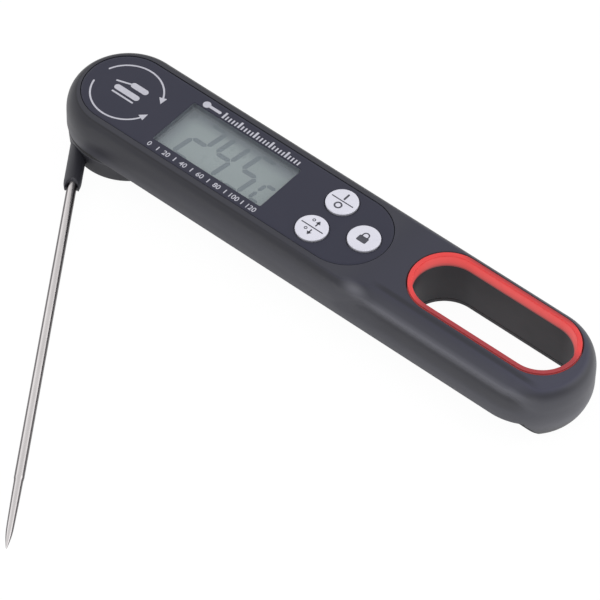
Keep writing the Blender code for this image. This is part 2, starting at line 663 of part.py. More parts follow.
# From the bead down the tube, across to the hub's axis and up the spindle, as (x, y, z)
SENSOR_WIRE = [
    (123.2, PROBE_Y, PROBE_Z), (60.0, PROBE_Y, PROBE_Z), (6.0, PROBE_Y, PROBE_Z),
    (3.0, PROBE_Y + 0.1, PROBE_Z), (1.9, PROBE_Y + 0.9, PROBE_Z), (1.7, PROBE_Y + 2.6, PROBE_Z),
    (1.4, -5.0, 2.9), (0.6, -1.6, 2.9), (0.1, -0.3, 3.6), (0.0, 0.0, 5.0), (0.0, 0.0, 10.4),
]


def lay_on_probe_line(obj, x=0.0, turn=math.pi / 2):
    """Turns a piece built along Z to lie along X on the folded probe's line."""
    obj.rotation_euler = (0, turn, 0)
    obj.location = (x * MM, PROBE_Y * MM, PROBE_Z * MM)
    return obj


def build_hub():
    hub = turned("probe_hub", HUB_PROFILE, 48, "hub_plastic")
    bore_r = SLEEVE_R + SLEEVE_BORE_GAP
    bore = cylinder("cut_sleeve_bore", bore_r, (0, SLEEVE_CUT_LENGTH), 28)
    boolean(hub, lay_on_probe_line(bore, SLEEVE_BORE_X))
    cap = turned("hub_cap", CAP_PROFILE, 40, "hub_plastic")
    ring = open_ring(0, 0, CLIP_R, CLIP_IN_R, CLIP_HALF_ANGLE, 20)
    clip = plate("retaining_clip", [ring], CLIP_Z, "screw_steel")
    return [hub, bore, cap, clip]


def build_sleeve():
    span = (SLEEVE_X0, SLEEVE_END_X)
    sleeve = cylinder("probe_sleeve", SLEEVE_R, span, 28, finish="hub_plastic")
    lay_on_probe_line(sleeve)
    hole = cylinder("cut_sleeve_hole", TUBE_R + TUBE_GAP, (0, SLEEVE_CUT_LENGTH), 20)
    boolean(sleeve, lay_on_probe_line(hole))
    outline = arc(SLEEVE_END_X - NOTCH_IN, PROBE_Y, NOTCH_R, 90, 270, 12)
    mouth_x = SLEEVE_END_X + NOTCH_OUT
    outline += [(mouth_x, PROBE_Y - NOTCH_MOUTH), (mouth_x, PROBE_Y + NOTCH_MOUTH)]
    notch = plate("cut_sleeve_notch", [outline], (-3, 9))
    boolean(sleeve, notch)
    return [sleeve, hole, notch]


def build_tube():
    profile = [(r, -x) for r, x in TUBE_WALL]
    steel = turned("probe_tube", profile, 16, "stainless_steel")
    return [lay_on_probe_line(steel, turn=-math.pi / 2)]


def build_sensor():
    name = "temperature_sensor"
    bm = bmesh.new()
    bmesh.ops.create_uvsphere(bm, u_segments=10, v_segments=6, radius=BEAD_R * MM)
    bead = place(name, from_bmesh(name, bm), "sensor_epoxy", (BEAD_X, PROBE_Y, PROBE_Z))
    return [bead, wire("sensor_wire", SENSOR_WIRE, SENSOR_WIRE_R, "wire_red")]


def build_probe():
    pivot = bpy.data.objects.new("probe_pivot", None)
    pivot.empty_display_size = 20 * MM
    PARTS.objects.link(pivot)
    for piece in build_hub() + build_sleeve() + build_tube() + build_sensor():
        piece.parent = pivot
    pivot.rotation_euler = (0, 0, math.radians(PROBE_OPEN))


# ---------------------------------------------------------------- assembly
def shade_parts():
    for obj in PARTS.objects:
        if obj.type == "MESH":
            obj.data.shade_smooth()
            obj.data.set_sharp_from_angle(angle=math.radians(35))


def build_thermometer():
    hub_room = under_cut("cut_hub_room")
    slot_hole = plate("cut_slot_hole", [finger_slot(SLOT_WALL_R, 20)], (-6, 24))
    build_housing(hub_room, slot_hole)
    build_back_cover(hub_room, slot_hole)
    build_battery_door()
    build_faceplate()
    build_display()
    build_keys()
    build_board()
    build_screws()
    build_battery()
    build_slot_liner()
    build_hub_fixings()
    build_leads()
    build_probe()
    shade_parts()
    bpy.context.view_layer.update()


build_thermometer()
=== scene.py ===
"""Looks of a folding digital meat thermometer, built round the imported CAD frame.

The shown shells, keys, liner, screws, hub and probe are built as finer meshes in the places of their
CAD nodes, with rounded edges, seams and printed marks. The inner CAD nodes only get materials.

Lengths are in millimetres in the CAD frame, and MM turns them into metres. The origin is on the hub's
axis at the flat back, +X runs to the tail and +Z out of the face. The probe is built folded, along
the handle's -Y side, and then swung open about the hub's axis.
"""

import json
import math

import bmesh
import bpy
from mathutils import Matrix, Vector

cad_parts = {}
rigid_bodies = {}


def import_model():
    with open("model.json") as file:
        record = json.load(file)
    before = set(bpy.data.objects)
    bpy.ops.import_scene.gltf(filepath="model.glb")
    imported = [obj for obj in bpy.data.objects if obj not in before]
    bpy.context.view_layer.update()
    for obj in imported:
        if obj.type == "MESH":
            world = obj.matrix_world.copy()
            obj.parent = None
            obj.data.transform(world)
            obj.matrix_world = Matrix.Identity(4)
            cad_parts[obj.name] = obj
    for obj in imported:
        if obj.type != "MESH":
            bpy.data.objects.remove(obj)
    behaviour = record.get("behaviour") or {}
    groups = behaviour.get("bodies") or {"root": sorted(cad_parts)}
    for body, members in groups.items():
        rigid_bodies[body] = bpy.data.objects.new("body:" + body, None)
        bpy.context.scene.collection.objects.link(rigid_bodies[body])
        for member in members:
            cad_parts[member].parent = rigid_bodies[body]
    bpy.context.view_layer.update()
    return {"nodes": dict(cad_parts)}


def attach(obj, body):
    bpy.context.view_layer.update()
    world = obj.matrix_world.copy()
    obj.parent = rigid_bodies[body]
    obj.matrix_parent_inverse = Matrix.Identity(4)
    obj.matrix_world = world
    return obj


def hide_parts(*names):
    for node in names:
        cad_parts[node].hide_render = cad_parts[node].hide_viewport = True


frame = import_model()

MM = 0.001

# ---------------------------------------------------------------- driving dimensions, mm
# R stands for a radius. The handle's outline is a stadium from the hub's axis to TAIL_X.
BODY_R, TAIL_X, BODY_DEPTH = 15.1, 124.5, 17.0
SHOULDER_IN, SHOULDER_DOWN = 3.0, 5.5
GRIP_START, GRIP_FULL, GRIP_FADE, GRIP_END = 76.0, 85.0, 128.0, 137.0
SHELL_GROW = 0.07
CHANNEL_WALL_Y, HUB_CLEAR_R, CHANNEL_CORNER_R = -8.4, 15.0, 1.2
FACE_Y, FACE_R, FACE_X0, FACE_X1 = 0.3, 11.25, -0.75, 68.4
KEY_R, KEY_HOLE_R, KEY_TOP = 4.08, 4.35, 17.6
KEYS = {"power": (62.28, 5.93), "unit": (62.10, -5.13), "hold": (73.55, 0.40)}
SLOT_X0, SLOT_X1, SLOT_Y, SLOT_WALL_R = 97.27, 124.84, 2.73, 8.9
LINER_R, LINER_IN_R, LINER_Z0, LINER_Z1 = 9.65, 8.5, 13.5, 17.15
PROBE_Y, PROBE_Z, PROBE_OPEN = -11.4, 3.0, -56.0
TUBE_R, SLEEVE_R, SLEEVE_END_X = 1.22, 2.2, 20.9
SLEEVE_START_X, TUBE_GAP = 3.2, 0.03
BATTERY = BATTERY_X, BATTERY_Y = 64.0, 1.0
COVER_SCREWS = ((19.0, -4.6), (18.6, 6.4), (88.3, -5.4), (87.6, 10.0))
BOARD_SCREWS = ((53.8, 8.75), (53.8, -8.2))
DOOR_LUGS = (90.0, 210.0, 330.0)

# Rectangles: x0, x1, y0, y1.
WINDOW = (14.3, 48.2, -7.65, 7.85)
WINDOW_GAP = 0.12
HOLDER = (12.0, 50.5, -9.4, 9.6)
GLASS = (13.25, 49.25, -8.3, 8.5)
GLASS_SEAT = (13.05, 49.45, -8.55, 8.75)
BACK_CAVITY = (22.0, 82.0, -6.4, 7.2)

# Bottom and top of each printed layer. Strokes on the face lie a little under its solid marks.
FACE_INK = (BODY_DEPTH - 0.02, BODY_DEPTH + 0.03)
FACE_LINE_INK = (FACE_INK[0], FACE_INK[1] - 0.006)
KEY_INK = (KEY_TOP - 0.02, KEY_TOP + 0.025)
LCD_INK = (14.39, 14.42)

WELD = 0.0000005  # metres

scene = bpy.context.scene
WORK = bpy.data.collections.new("cutters")
scene.collection.children.link(WORK)


# ---------------------------------------------------------------- outlines and curves
def smoothstep(low, high, value):
    share = min(1.0, max(0.0, (value - low) / (high - low)))
    return share * share * (3 - 2 * share)


def polar(x, y, radius, angle):
    """The point at an angle in degrees on a circle."""
    return x + radius * math.cos(math.radians(angle)), y + radius * math.sin(math.radians(angle))


def arc(x, y, radius, start, end, steps):
    return [polar(x, y, radius, start + (end - start) * k / steps) for k in range(steps + 1)]


def circle(x, y, radius, count=64):
    turns = [math.tau * k / count for k in range(count)]
    return [(x + radius * math.cos(turn), y + radius * math.sin(turn)) for turn in turns]


def stadium(x0, x1, y, radius, steps=48):
    return arc(x1, y, radius, -90, 90, steps) + arc(x0, y, radius, 90, 270, steps)


def rounded_rect(x0, x1, y0, y1, radius, steps=8):
    return (
        arc(x1 - radius, y0 + radius, radius, -90, 0, steps)
        + arc(x1 - radius, y1 - radius, radius, 0, 90, steps)
        + arc(x0 + radius, y1 - radius, radius, 90, 180, steps)
        + arc(x0 + radius, y0 + radius, radius, 180, 270, steps)
    )


def stadium_outline(x0, x1, y, radius, steps=48):
    """A stadium as a function of how far it grows, for stack()."""
    return lambda grow: stadium(x0, x1, y, radius + grow, steps)


def rect_outline(rect, radius, corners_grow=False):
    """A rounded rectangle as a function of how far it grows, for stack()."""
    x0, x1, y0, y1 = rect
    return lambda grow: rounded_rect(
        x0 - grow, x1 + grow, y0 - grow, y1 + grow, radius + grow if corners_grow else radius
    )


def rounded(points, closed=False, steps=4):
    """A polyline of (across, up, fillet) with each corner turned into a small curve."""
    out = []
    count = len(points)
    for i, (across, up, fillet) in enumerate(points):
        if fillet <= 0 or (not closed and i in (0, count - 1)):
            out.append((across, up))
            continue
        corner = Vector((across, up))
        back = Vector(points[i - 1][:2]) - corner
        ahead = Vector(points[(i + 1) % count][:2]) - corner
        reach = min(fillet, back.length * 0.48, ahead.length * 0.48)
        start = corner + back.normalized() * reach
        end = corner + ahead.normalized() * reach
        for k in range(steps + 1):
            share = k / steps
            point = (
                start * (1 - share) ** 2 + corner * (2 * share * (1 - share)) + end * share * share
            )
            out.append((point.x, point.y))
    return out


def catmull(points, place):
    """The smooth curve through the points at a place counted one unit per point."""
    last = len(points) - 1
    i = min(int(place), last - 1)
    part = place - i
    before, start, end, after = (
        Vector(points[min(max(j, 0), last)]) for j in (i - 1, i, i + 1, i + 2)
    )
    if i == 0:
        before = start * 2 - end
    if i == last - 1:
        after = end * 2 - start
    return 0.5 * (
        2 * start
        + (end - before) * part
        + (2 * before - 5 * start + 4 * end - after) * part * part
        + (3 * start - before - 3 * end + after) * part**3
    )


# ---------------------------------------------------------------- mesh helpers
def to_object(name, mesh, cutter=False):
    """Turns a bmesh into an object. Cutters go to their own hidden collection."""
    bmesh.ops.recalc_face_normals(mesh, faces=mesh.faces)
    data = bpy.data.meshes.new(name)
    mesh.to_mesh(data)
    mesh.free()
    obj = bpy.data.objects.new(name, data)
    if cutter:
        WORK.objects.link(obj)
        obj.hide_render = True
        obj.hide_viewport = True
    else:
        scene.collection.objects.link(obj)
    return obj


def loft(name, rings, closed=False, cutter=False):
    """A solid through rings of equal numbers of (x, y, z); closed joins the last to the first."""
    mesh = bmesh.new()
    rows = [[mesh.verts.new(Vector(point) * MM) for point in ring] for ring in rings]
    count = len(rows[0])
    pairs = list(zip(rows, rows[1:])) + ([(rows[-1], rows[0])] if closed else [])
    for low, high in pairs:
        for i in range(count):
            j = (i + 1) % count
            mesh.faces.new((low[i], high[i], high[j], low[j]))
    if not closed:
        mesh.faces.new(rows[0])
        mesh.faces.new(list(reversed(rows[-1])))
    return to_object(name, mesh, cutter)


def stack(name, outline, steps, cutter=False):
    """A loft of outline(grow) at each (grow, z) step."""
    return loft(name, [[(x, y, z) for x, y in outline(grow)] for grow, z in steps], cutter=cutter)


def lathe(name, profile, segments=96, at=(0.0, 0.0), cutter=False):
    """Turns (radius, z) about Z. A profile with both ends off the axis is a closed section."""
    mesh = bmesh.new()
    rows = []
    for radius, z in profile:
        ring = [at] if radius < 1e-6 else circle(*at, radius, segments)
        rows.append([mesh.verts.new(Vector((x, y, z)) * MM) for x, y in ring])
    pairs = list(zip(rows, rows[1:]))
    if len(rows[0]) > 1 and len(rows[-1]) > 1:
        pairs.append((rows[-1], rows[0]))
    for low, high in pairs:
        if len(low) == 1 and len(high) == 1:
            continue
        for i in range(segments):
            j = (i + 1) % segments
            if len(low) == 1:
                mesh.faces.new((low[0], high[i], high[j]))
            elif len(high) == 1:
                mesh.faces.new((low[i], high[0], low[j]))
            else:
                mesh.faces.new((low[i], high[i], high[j], low[j]))
    return to_object(name, mesh, cutter)


def prism_cutter(name, outline, z0, z1):
    return loft(name, [[(x, y, z) for x, y in outline] for z in (z0, z1)], cutter=True)


def slab_cutter(name, rect, z0, z1):
    x0, x1, y0, y1 = rect
    return prism_cutter(name, [(x0, y0), (x1, y0), (x1, y1), (x0, y1)], z0, z1)


def round_cutter(name, radius, z0, z1, segments=64, at=(0.0, 0.0)):
    """A plain cylinder."""
    return lathe(name, [(0, z0), (radius, z0), (radius, z1), (0, z1)], segments, at, cutter=True)


def boolean(obj, cutter, operation="DIFFERENCE"):
    modifier = obj.modifiers.new(cutter.name, "BOOLEAN")
    modifier.operation = operation
    modifier.solver = "EXACT"
    modifier.object = cutter


def bake(obj):
    """Applies the object's modifiers, so that what is left is plain mesh."""
    bpy.context.view_layer.update()
    graph = bpy.context.evaluated_depsgraph_get()
    made = bpy.data.meshes.new_from_object(obj.evaluated_get(graph))
    made.materials.clear()
    obj.modifiers.clear()
    old = obj.data
    obj.data = made
    bpy.data.meshes.remove(old)
    mesh = bmesh.new()
    mesh.from_mesh(made)
    bmesh.ops.remove_doubles(mesh, verts=mesh.verts, dist=WELD)
    bmesh.ops.dissolve_degenerate(mesh, edges=mesh.edges, dist=WELD)
    mesh.to_mesh(made)
    mesh.free()


def smooth(obj, angle=32.0):
    obj.data.shade_smooth()
    obj.data.set_sharp_from_angle(angle=math.radians(angle))
    weighted = obj.modifiers.new("FaceNormals", "WEIGHTED_NORMAL")
    weighted.mode = "FACE_AREA"
    weighted.weight = 60
    weighted.keep_sharp = True


def piece(obj, body, material, node):
    """Shades the mesh, gives it its finish and lets it ride on its body in place of a CAD node."""
    smooth(obj)
    obj.data.materials.append(MAT[material])
    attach(obj, body)
    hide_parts(node)


# ---------------------------------------------------------------- shader helpers
def srgb(text):
    """A hex colour as linear red, green and blue."""
    channels = [int(text[i : i + 2], 16) / 255 for i in (1, 3, 5)]
    return tuple(c / 12.92 if c <= 0.04045 else ((c + 0.055) / 1.055) ** 2.4 for c in channels)


class Graph:
    """Adds nodes to a node tree. Every method that adds a node returns one of its outputs."""

    def __init__(self, owner):
        self.tree = owner.node_tree
        self.shader = self.tree.nodes.get("Principled BSDF")

    def plug(self, socket, value):
        """Links an output to the socket, or sets the socket's own value."""
        if isinstance(value, bpy.types.NodeSocket):
            self.tree.links.new(value, socket)
        else:
            socket.default_value = value

    def add(self, kind, inputs=None, output=0, **settings):
        node = self.tree.nodes.new("ShaderNode" + kind)
        for setting, value in settings.items():
            setattr(node, setting, value)
        for socket, value in (inputs or {}).items():
            self.plug(node.inputs[socket], value)
        return node.outputs[output]

    def maths(self, operation, first, second, clamp=False):
        return self.add("Math", {0: first, 1: second}, operation=operation, use_clamp=clamp)

    def vector_maths(self, operation, first, second=None, output=0):
        inputs = {0: first} if second is None else {0: first, 1: second}
        return self.add("VectorMath", inputs, output, operation=operation)

    def remap(self, source, low, high, to_low=0.0, to_high=1.0, interpolation="LINEAR"):
        inputs = {
            "Value": source, "From Min": low, "From Max": high, "To Min": to_low, "To Max": to_high,
        }
        return self.add("MapRange", inputs, interpolation_type=interpolation)

    def part(self, vector, axis):
        return self.add("SeparateXYZ", {0: vector}, axis)

    def mix_colour(self, factor, first, second):
        first, second = (
            (*value, 1.0) if isinstance(value, tuple) else value for value in (first, second)
        )
        return self.add("Mix", {0: factor, 6: first, 7: second}, 2, data_type="RGBA")

    def mix_shader(self, factor, first, second):
        return self.add("MixShader", {0: factor, 1: first, 2: second})

    def base_colour(self):
        """What feeds the shader's base colour now."""
        return self.shader.inputs["Base Color"].links[0].from_socket

    def set_shader(self, values):
        for name, value in values.items():
            self.plug(self.shader.inputs[name], value)


def new_material(name):
    mat = bpy.data.materials.new(name)
    mat.use_nodes = True
    return mat, Graph(mat)


def surface(
    name, base, second, rough=0.45, metallic=0.0, specular=0.5, mottle=90.0, grain=3200.0,
    bump=0.25, bump_depth=0.01, stretch=(1.0, 1.0, 1.0), edge_wear_and_highlight=None, edge_wear_and_highlight_amount=0.5, edge=0.12,
    rough_spread=0.06, coat=0.0, speck=0.0,
):
    """A moulded, turned or painted finish: two tones mixed by a broad noise, fine grain in the
    bump, rounded edges in the shading and, with an edge colour, a smoother line of it along them:
    pale wear on most finishes, a darker edge on the faceplate, a painted highlight on the red liner.

    mottle and grain are noise scales; bump_depth and edge are in millimetres.
    """
    base, second = srgb(base), srgb(second)
    mat, graph = new_material(name)
    coord = graph.add("TexCoord", output="Object")
    grain_place = graph.add("Mapping", {"Vector": coord, "Scale": stretch})
    broad = graph.add(
        "TexNoise", {"Vector": coord, "Scale": mottle, "Detail": 5.0, "Roughness": 0.6}
    )
    fine = graph.add("TexNoise", {"Vector": grain_place, "Scale": grain, "Detail": 3.0})

    colour = graph.mix_colour(graph.remap(broad, 0.35, 0.65), base, second)
    if speck:
        speck_mask = graph.maths("MULTIPLY", graph.remap(fine, 0.3, 0.7), speck, clamp=True)
        speck_colour = tuple(min(1.0, c * 1.9 + 0.01) for c in second)
        colour = graph.mix_colour(speck_mask, colour, speck_colour)
    roughness = graph.remap(broad, 0.3, 0.7, rough - rough_spread, rough + rough_spread)
    bevel = graph.add("Bevel", {"Radius": edge * MM}, samples=6)
    if edge_wear_and_highlight is not None:
        # The rounded normal leaves the true one only near edges.
        normal = graph.add("NewGeometry", output="Normal")
        agreement = graph.vector_maths("DOT_PRODUCT", bevel, normal, output="Value")
        rim = graph.remap(agreement, 0.995, 0.86)
        broken = graph.remap(broad, 0.4, 0.6, 0.45, 1.0)
        mask = graph.maths("MULTIPLY", rim, broken, clamp=True)
        mask = graph.maths("MULTIPLY", mask, edge_wear_and_highlight_amount, clamp=True)
        colour = graph.mix_colour(mask, colour, srgb(edge_wear_and_highlight))
        polish = graph.maths("MULTIPLY", mask, 0.12, clamp=True)
        roughness = graph.maths("SUBTRACT", roughness, polish, clamp=True)
    relief = graph.add(
        "Bump",
        {"Strength": bump, "Distance": bump_depth * MM, "Height": fine, "Normal": bevel},
    )
    graph.set_shader({
        "Base Color": colour, "Roughness": roughness, "Normal": relief, "Metallic": metallic,
        "Specular IOR Level": specular, "Coat Weight": coat, "Coat Roughness": 0.12,
    })
    mat.diffuse_color = (*base, 1.0)
    return mat


def clear_surface(name):
    """A thin clear moulding: light passes straight through, under a soft sheen with rub marks."""
    mat, graph = new_material(name)
    graph.tree.nodes.remove(graph.shader)
    coord = graph.add("TexCoord", output="Object")
    noise = graph.add("TexNoise", {"Vector": coord, "Scale": 140.0, "Detail": 6.0})
    rub = graph.remap(noise, 0.35, 0.75, 0.14, 0.30)
    glossy = graph.add("BsdfGlossy", {"Roughness": rub, "Color": (0.9, 0.95, 1.0, 1.0)})
    through = graph.add("BsdfTransparent", {"Color": (0.95, 0.965, 0.96, 1.0)})
    fresnel = graph.add("Fresnel", {"IOR": 1.4})
    normal = graph.add("NewGeometry", output="True Normal")
    top_face = graph.maths("GREATER_THAN", graph.part(normal, "Z"), 0.9)
    sheen = graph.maths("MULTIPLY", fresnel, top_face)
    # Light isn't bent on its way in, so from inside the face would mirror fully at low angles and
    # hide the display. Its sheen is held to a low value there.
    outside = graph.maths("LESS_THAN", normal.node.outputs["Backfacing"], 0.5)
    limit = graph.remap(outside, 0.0, 1.0, to_low=0.155, to_high=1.0)
    held_sheen = graph.maths("MINIMUM", sheen, limit)
    mixed = graph.mix_shader(held_sheen, through, glossy)
    graph.plug(graph.tree.nodes["Material Output"].inputs["Surface"], mixed)
    mat.diffuse_color = (0.8, 0.85, 0.85, 0.3)
    return mat


# ---------------------------------------------------------------- finishes
PLASTIC = dict(bump=0.35, bump_depth=0.012, grain=4200.0, mottle=70.0)
MAT = {
    "housing": surface(
        "housing_plastic", "#2B2B34", "#2F2F38", rough=0.44, edge_wear_and_highlight="#66666C", edge_wear_and_highlight_amount=0.8,
        edge=0.25, **PLASTIC,
    ),
    "cover": surface(
        "cover_plastic", "#2B2B31", "#2F2F35", rough=0.5, edge_wear_and_highlight="#66666C", edge=0.2, **PLASTIC,
    ),
    "faceplate": surface(
        "faceplate_plastic", "#2B2C3F", "#2F2F41", rough=0.42, edge_wear_and_highlight="#1D1C24", edge_wear_and_highlight_amount=0.6,
        edge=0.15, bump=0.2, bump_depth=0.008, grain=5200.0, mottle=60.0,
    ),
    "hub": surface(
        "hub_plastic", "#2A2A30", "#2E2E34", rough=0.47, edge_wear_and_highlight="#66666C", edge=0.25, **PLASTIC,
    ),
    "sleeve": surface(
        "sleeve_plastic", "#303037", "#34343B", rough=0.46, edge_wear_and_highlight="#4C4C52", edge=0.2, **PLASTIC,
    ),
    # the liner's pale edge colour is a painted highlight along its rounded edges
    "liner": surface(
        "liner_red", "#F84646", "#FF4C4A", rough=0.42, edge_wear_and_highlight="#FFA69E", edge_wear_and_highlight_amount=0.8,
        edge=0.15, bump=0.15, grain=3800.0, mottle=80.0,
    ),
    "key": surface(
        "key_plastic", "#F4F3FE", "#EFEEFA", rough=0.36, edge_wear_and_highlight="#F3F2F7", edge=0.15, bump=0.12,
        bump_depth=0.008, grain=3000.0, mottle=110.0,
    ),
    "key_ink": surface("key_ink", "#4B4B55", "#565660", rough=0.55, bump=0.1, mottle=900.0),
    "face_ink": surface(
        "face_ink", "#D6D5DF", "#CDCCD7", rough=0.5, bump=0.15, mottle=1200.0, grain=9000.0,
    ),
    "lcd": surface(
        "display_glass", "#A4AAAC", "#9FA5A7", rough=0.3, specular=0.35, bump=0.04, mottle=45.0,
        grain=2500.0, edge=0.1,
    ),
    "lcd_ink": surface(
        "display_segments", "#6E757E", "#747B83", rough=0.4, bump=0.03, mottle=400.0,
    ),
    "bezel": surface(
        "bezel_plastic", "#676A73", "#60636C", rough=0.5, bump=0.15, mottle=120.0, edge=0.1,
    ),
    "window": clear_surface("clear_window"),
    "steel": surface(
        "stainless_steel", "#F0EBEA", "#E6E1E0", rough=0.24, metallic=1.0, bump=0.12,
        bump_depth=0.004, grain=900.0, stretch=(14.0, 0.6, 0.6), mottle=60.0, rough_spread=0.05,
        edge=0.05,
    ),
    "screw": surface(
        "screw_steel", "#B7B8BC", "#A9AAAE", rough=0.3, metallic=1.0, edge_wear_and_highlight="#D8D8DA",
        edge_wear_and_highlight_amount=0.6, edge=0.08, bump=0.15, bump_depth=0.006, grain=2600.0, mottle=500.0,
    ),
    "nickel": surface(
        "contact_nickel", "#CFC9B4", "#C2BCA8", rough=0.28, metallic=1.0, bump=0.1,
        mottle=400.0, grain=2400.0,
    ),
    "cell": surface(
        "cell_steel", "#C9CACD", "#BEBFC3", rough=0.2, metallic=1.0, bump=0.08, mottle=260.0,
        stretch=(1.0, 9.0, 1.0), grain=1500.0,
    ),
    "board": surface(
        "board_green", "#1F5A38", "#2A6A42", rough=0.4, bump=0.3, bump_depth=0.02,
        mottle=700.0, grain=1800.0, coat=0.3, speck=0.1,
    ),
    "chip": surface("chip_epoxy", "#1B1B1D", "#232325", rough=0.32, bump=0.2, mottle=500.0),
    "black_rubber": surface(
        "black_rubber", "#1D1D1F", "#252527", rough=0.68, bump=0.4, bump_depth=0.015, mottle=400.0,
    ),
    "grey_rubber": surface(
        "grey_rubber", "#7A7A7D", "#6E6E71", rough=0.72, bump=0.4, bump_depth=0.015, mottle=300.0,
    ),
    "white_plastic": surface(
        "white_plastic", "#D9D8D2", "#CFCEC7", rough=0.48, bump=0.2, mottle=180.0,
    ),
    "wire_red": surface("wire_red", "#B42A2A", "#A32222", rough=0.5, bump=0.2, mottle=800.0),
    "wire_black": surface("wire_black", "#1C1C1E", "#262628", rough=0.5, bump=0.2, mottle=800.0),
    "epoxy": surface("sensor_epoxy", "#20242E", "#2A2E38", rough=0.25, bump=0.15, mottle=900.0),
}

# Painted light and shade: colours laid over a finish where all of a row's ramps overlap, lowest
# first.
# Columns: finish, colour, strength, then ramps of (source, off, on). A source is x, y or z in
# millimetres, or nz, the Z part of the surface's normal. ("spot", centre, radii) is a soft round
# patch, also in millimetres.
PAINTED_LIGHT_AND_SHADE = (
    # painted light: the flat top, paler towards the tail
    ("housing", "#3A3A49", 0.9, ("nz", 0.8, 0.97), ("x", 60, 88)),
    ("housing", "#464657", 0.8, ("nz", 0.6, 0.95), ("x", 100, 140)),
    # painted highlights: the grip's ridge along the -Y side, and a pale spot at its hub end
    ("housing", "#44444E", 0.7, ("x", 78, 92), ("x", 136, 128), ("y", -8.8, -12.0),
     ("z", 13.5, 15.0)),
    ("housing", "#6A6A73", 0.5, ("x", 80, 90), ("x", 134, 127), ("z", 13.3, 14.0),
     ("z", 15.9, 15.1), ("y", -11.0, -11.8)),
    ("housing", "#73737B", 0.75, ("spot", (80.5, -12.2, 15.7), (5.5, 2.2, 2.2))),
    # painted shade: a dark line in the crease on the top, just inside the grip
    ("housing", "#1C1C22", 0.6, ("x", 82, 88), ("x", 134, 128), ("nz", 0.8, 0.9),
     ("y", -7.4, -8.3), ("y", -9.5, -8.8)),
    # painted light: the paler sides, along the handle, low down and round the tail
    ("housing", "#4E4E55", 0.6, ("nz", 0.6, 0.25), ("x", 10, 150)),
    ("housing", "#48484E", 0.7, ("nz", 0.5, 0.2), ("z", 10.5, 7.6)),
    ("housing", "#62626A", 0.6, ("nz", 0.7, 0.3), ("x", 130, 140), ("z", 11.0, 4.0)),
    # painted shade on the shoulder beside the face, and painted light on the flat on top of it
    ("housing", "#1C1C22", 0.4, ("nz", 0.94, 0.8), ("nz", 0.2, 0.5), ("x", 80, 70)),
    ("housing", "#121216", 0.5, ("nz", 0.975, 0.94), ("nz", 0.84, 0.91), ("x", 62, 36)),
    ("housing", "#46464F", 0.45, ("nz", 0.96, 0.99), ("x", 82, 74)),
    # painted shade in the hollow under the grip's ridge
    ("housing", "#1C1C22", 0.35, ("x", 86, 93), ("x", 134, 128), ("y", -11.5, -12.5),
     ("z", 13.5, 12.8), ("z", 10.0, 11.4)),
    # painted shade inside the finger slot below the liner
    ("housing", "#191C24", 0.8, ("x", 86.5, 88), ("x", 135.5, 134), ("y", -6.7, -6.2),
     ("y", 12.2, 11.7), ("z", 13.9, 13.4)),
    # painted shade on the upper side at the hub end, and on everything that faces down
    ("housing", "#1B1B21", 0.5, ("nz", 0.7, 0.3), ("x", 40, 5), ("z", 8.5, 11.0)),
    ("housing", "#08080A", 0.85, ("nz", -0.1, -0.5)),
    # painted shade on the hub's top in the gap under the shell, and a painted highlight line below
    # its edge
    ("hub", "#0B0B0D", 0.95, ("z", 5.9, 6.15)),
    ("hub", "#5A5A60", 0.6, ("z", 5.5, 5.7), ("z", 6.0, 5.8)),
    # painted shade: the liner's flat rim on its +Y and -Y sides, then its walls lower down and their
    # foot
    ("liner", "#9C333B", 0.75, ("nz", 0.5, 0.9), ("x", 92, 98), ("x", 133.5, 127),
     ("y", 10.9, 12.4)),
    ("liner", "#A03A42", 0.8, ("z", 16.5, 16.9), ("x", 92, 98), ("y", 7.0, 2.5)),
    ("liner", "#A02A30", 0.6, ("nz", 0.5, 0.3), ("z", 15.6, 13.8)),
    ("liner", "#3A0E12", 0.9, ("nz", 0.5, 0.3), ("z", 14.1, 13.7)),
    # painted shadow of the window's walls along the display's +Y and hub-end margins
    ("lcd", "#757884", 0.8, ("y", 3.2, 8.2)),
    ("lcd", "#757884", 0.6, ("x", 19.5, 13.8)),
    # painted shade on the keys' sides
    ("key", "#85858D", 0.8, ("nz", 0.5, 0.1)),
)


def spot_distance(graph, coord, centre, radii):
    """Distance from a spot's centre, with 1 at its radii."""
    shifted = graph.vector_maths("SUBTRACT", coord, [v * MM for v in centre])
    scaled = graph.vector_maths("DIVIDE", shifted, [v * MM for v in radii])
    return graph.vector_maths("LENGTH", scaled, output="Value")


def paint_light_and_shade(key, colour, amount, *ramps):
    """Lays one row of painted light and shade over a finish."""
    graph = Graph(MAT[key])
    below = graph.base_colour()
    used = {ramp[0] for ramp in ramps}
    sources = {}
    if used - {"nz"}:
        coord = graph.add("TexCoord", output="Object")
    if used & set("xyz"):
        parts = graph.part(coord, "X").node.outputs
        sources = {axis: (parts[axis.upper()], MM) for axis in "xyz"}
    if "nz" in used:
        normal = graph.add("NewGeometry", output="Normal")
        sources["nz"] = (graph.part(normal, "Z"), 1.0)
    mask = None
    for source, off, on in ramps:
        if source == "spot":
            value, low, high = spot_distance(graph, coord, off, on), 1.0, 0.0
        else:
            value, unit = sources[source]
            low, high = off * unit, on * unit
        ramp = graph.remap(value, low, high, interpolation="SMOOTHSTEP")
        mask = ramp if mask is None else graph.maths("MULTIPLY", mask, ramp)
    share = graph.maths("MULTIPLY", mask, amount)
    graph.set_shader({"Base Color": graph.mix_colour(share, below, srgb(colour))})


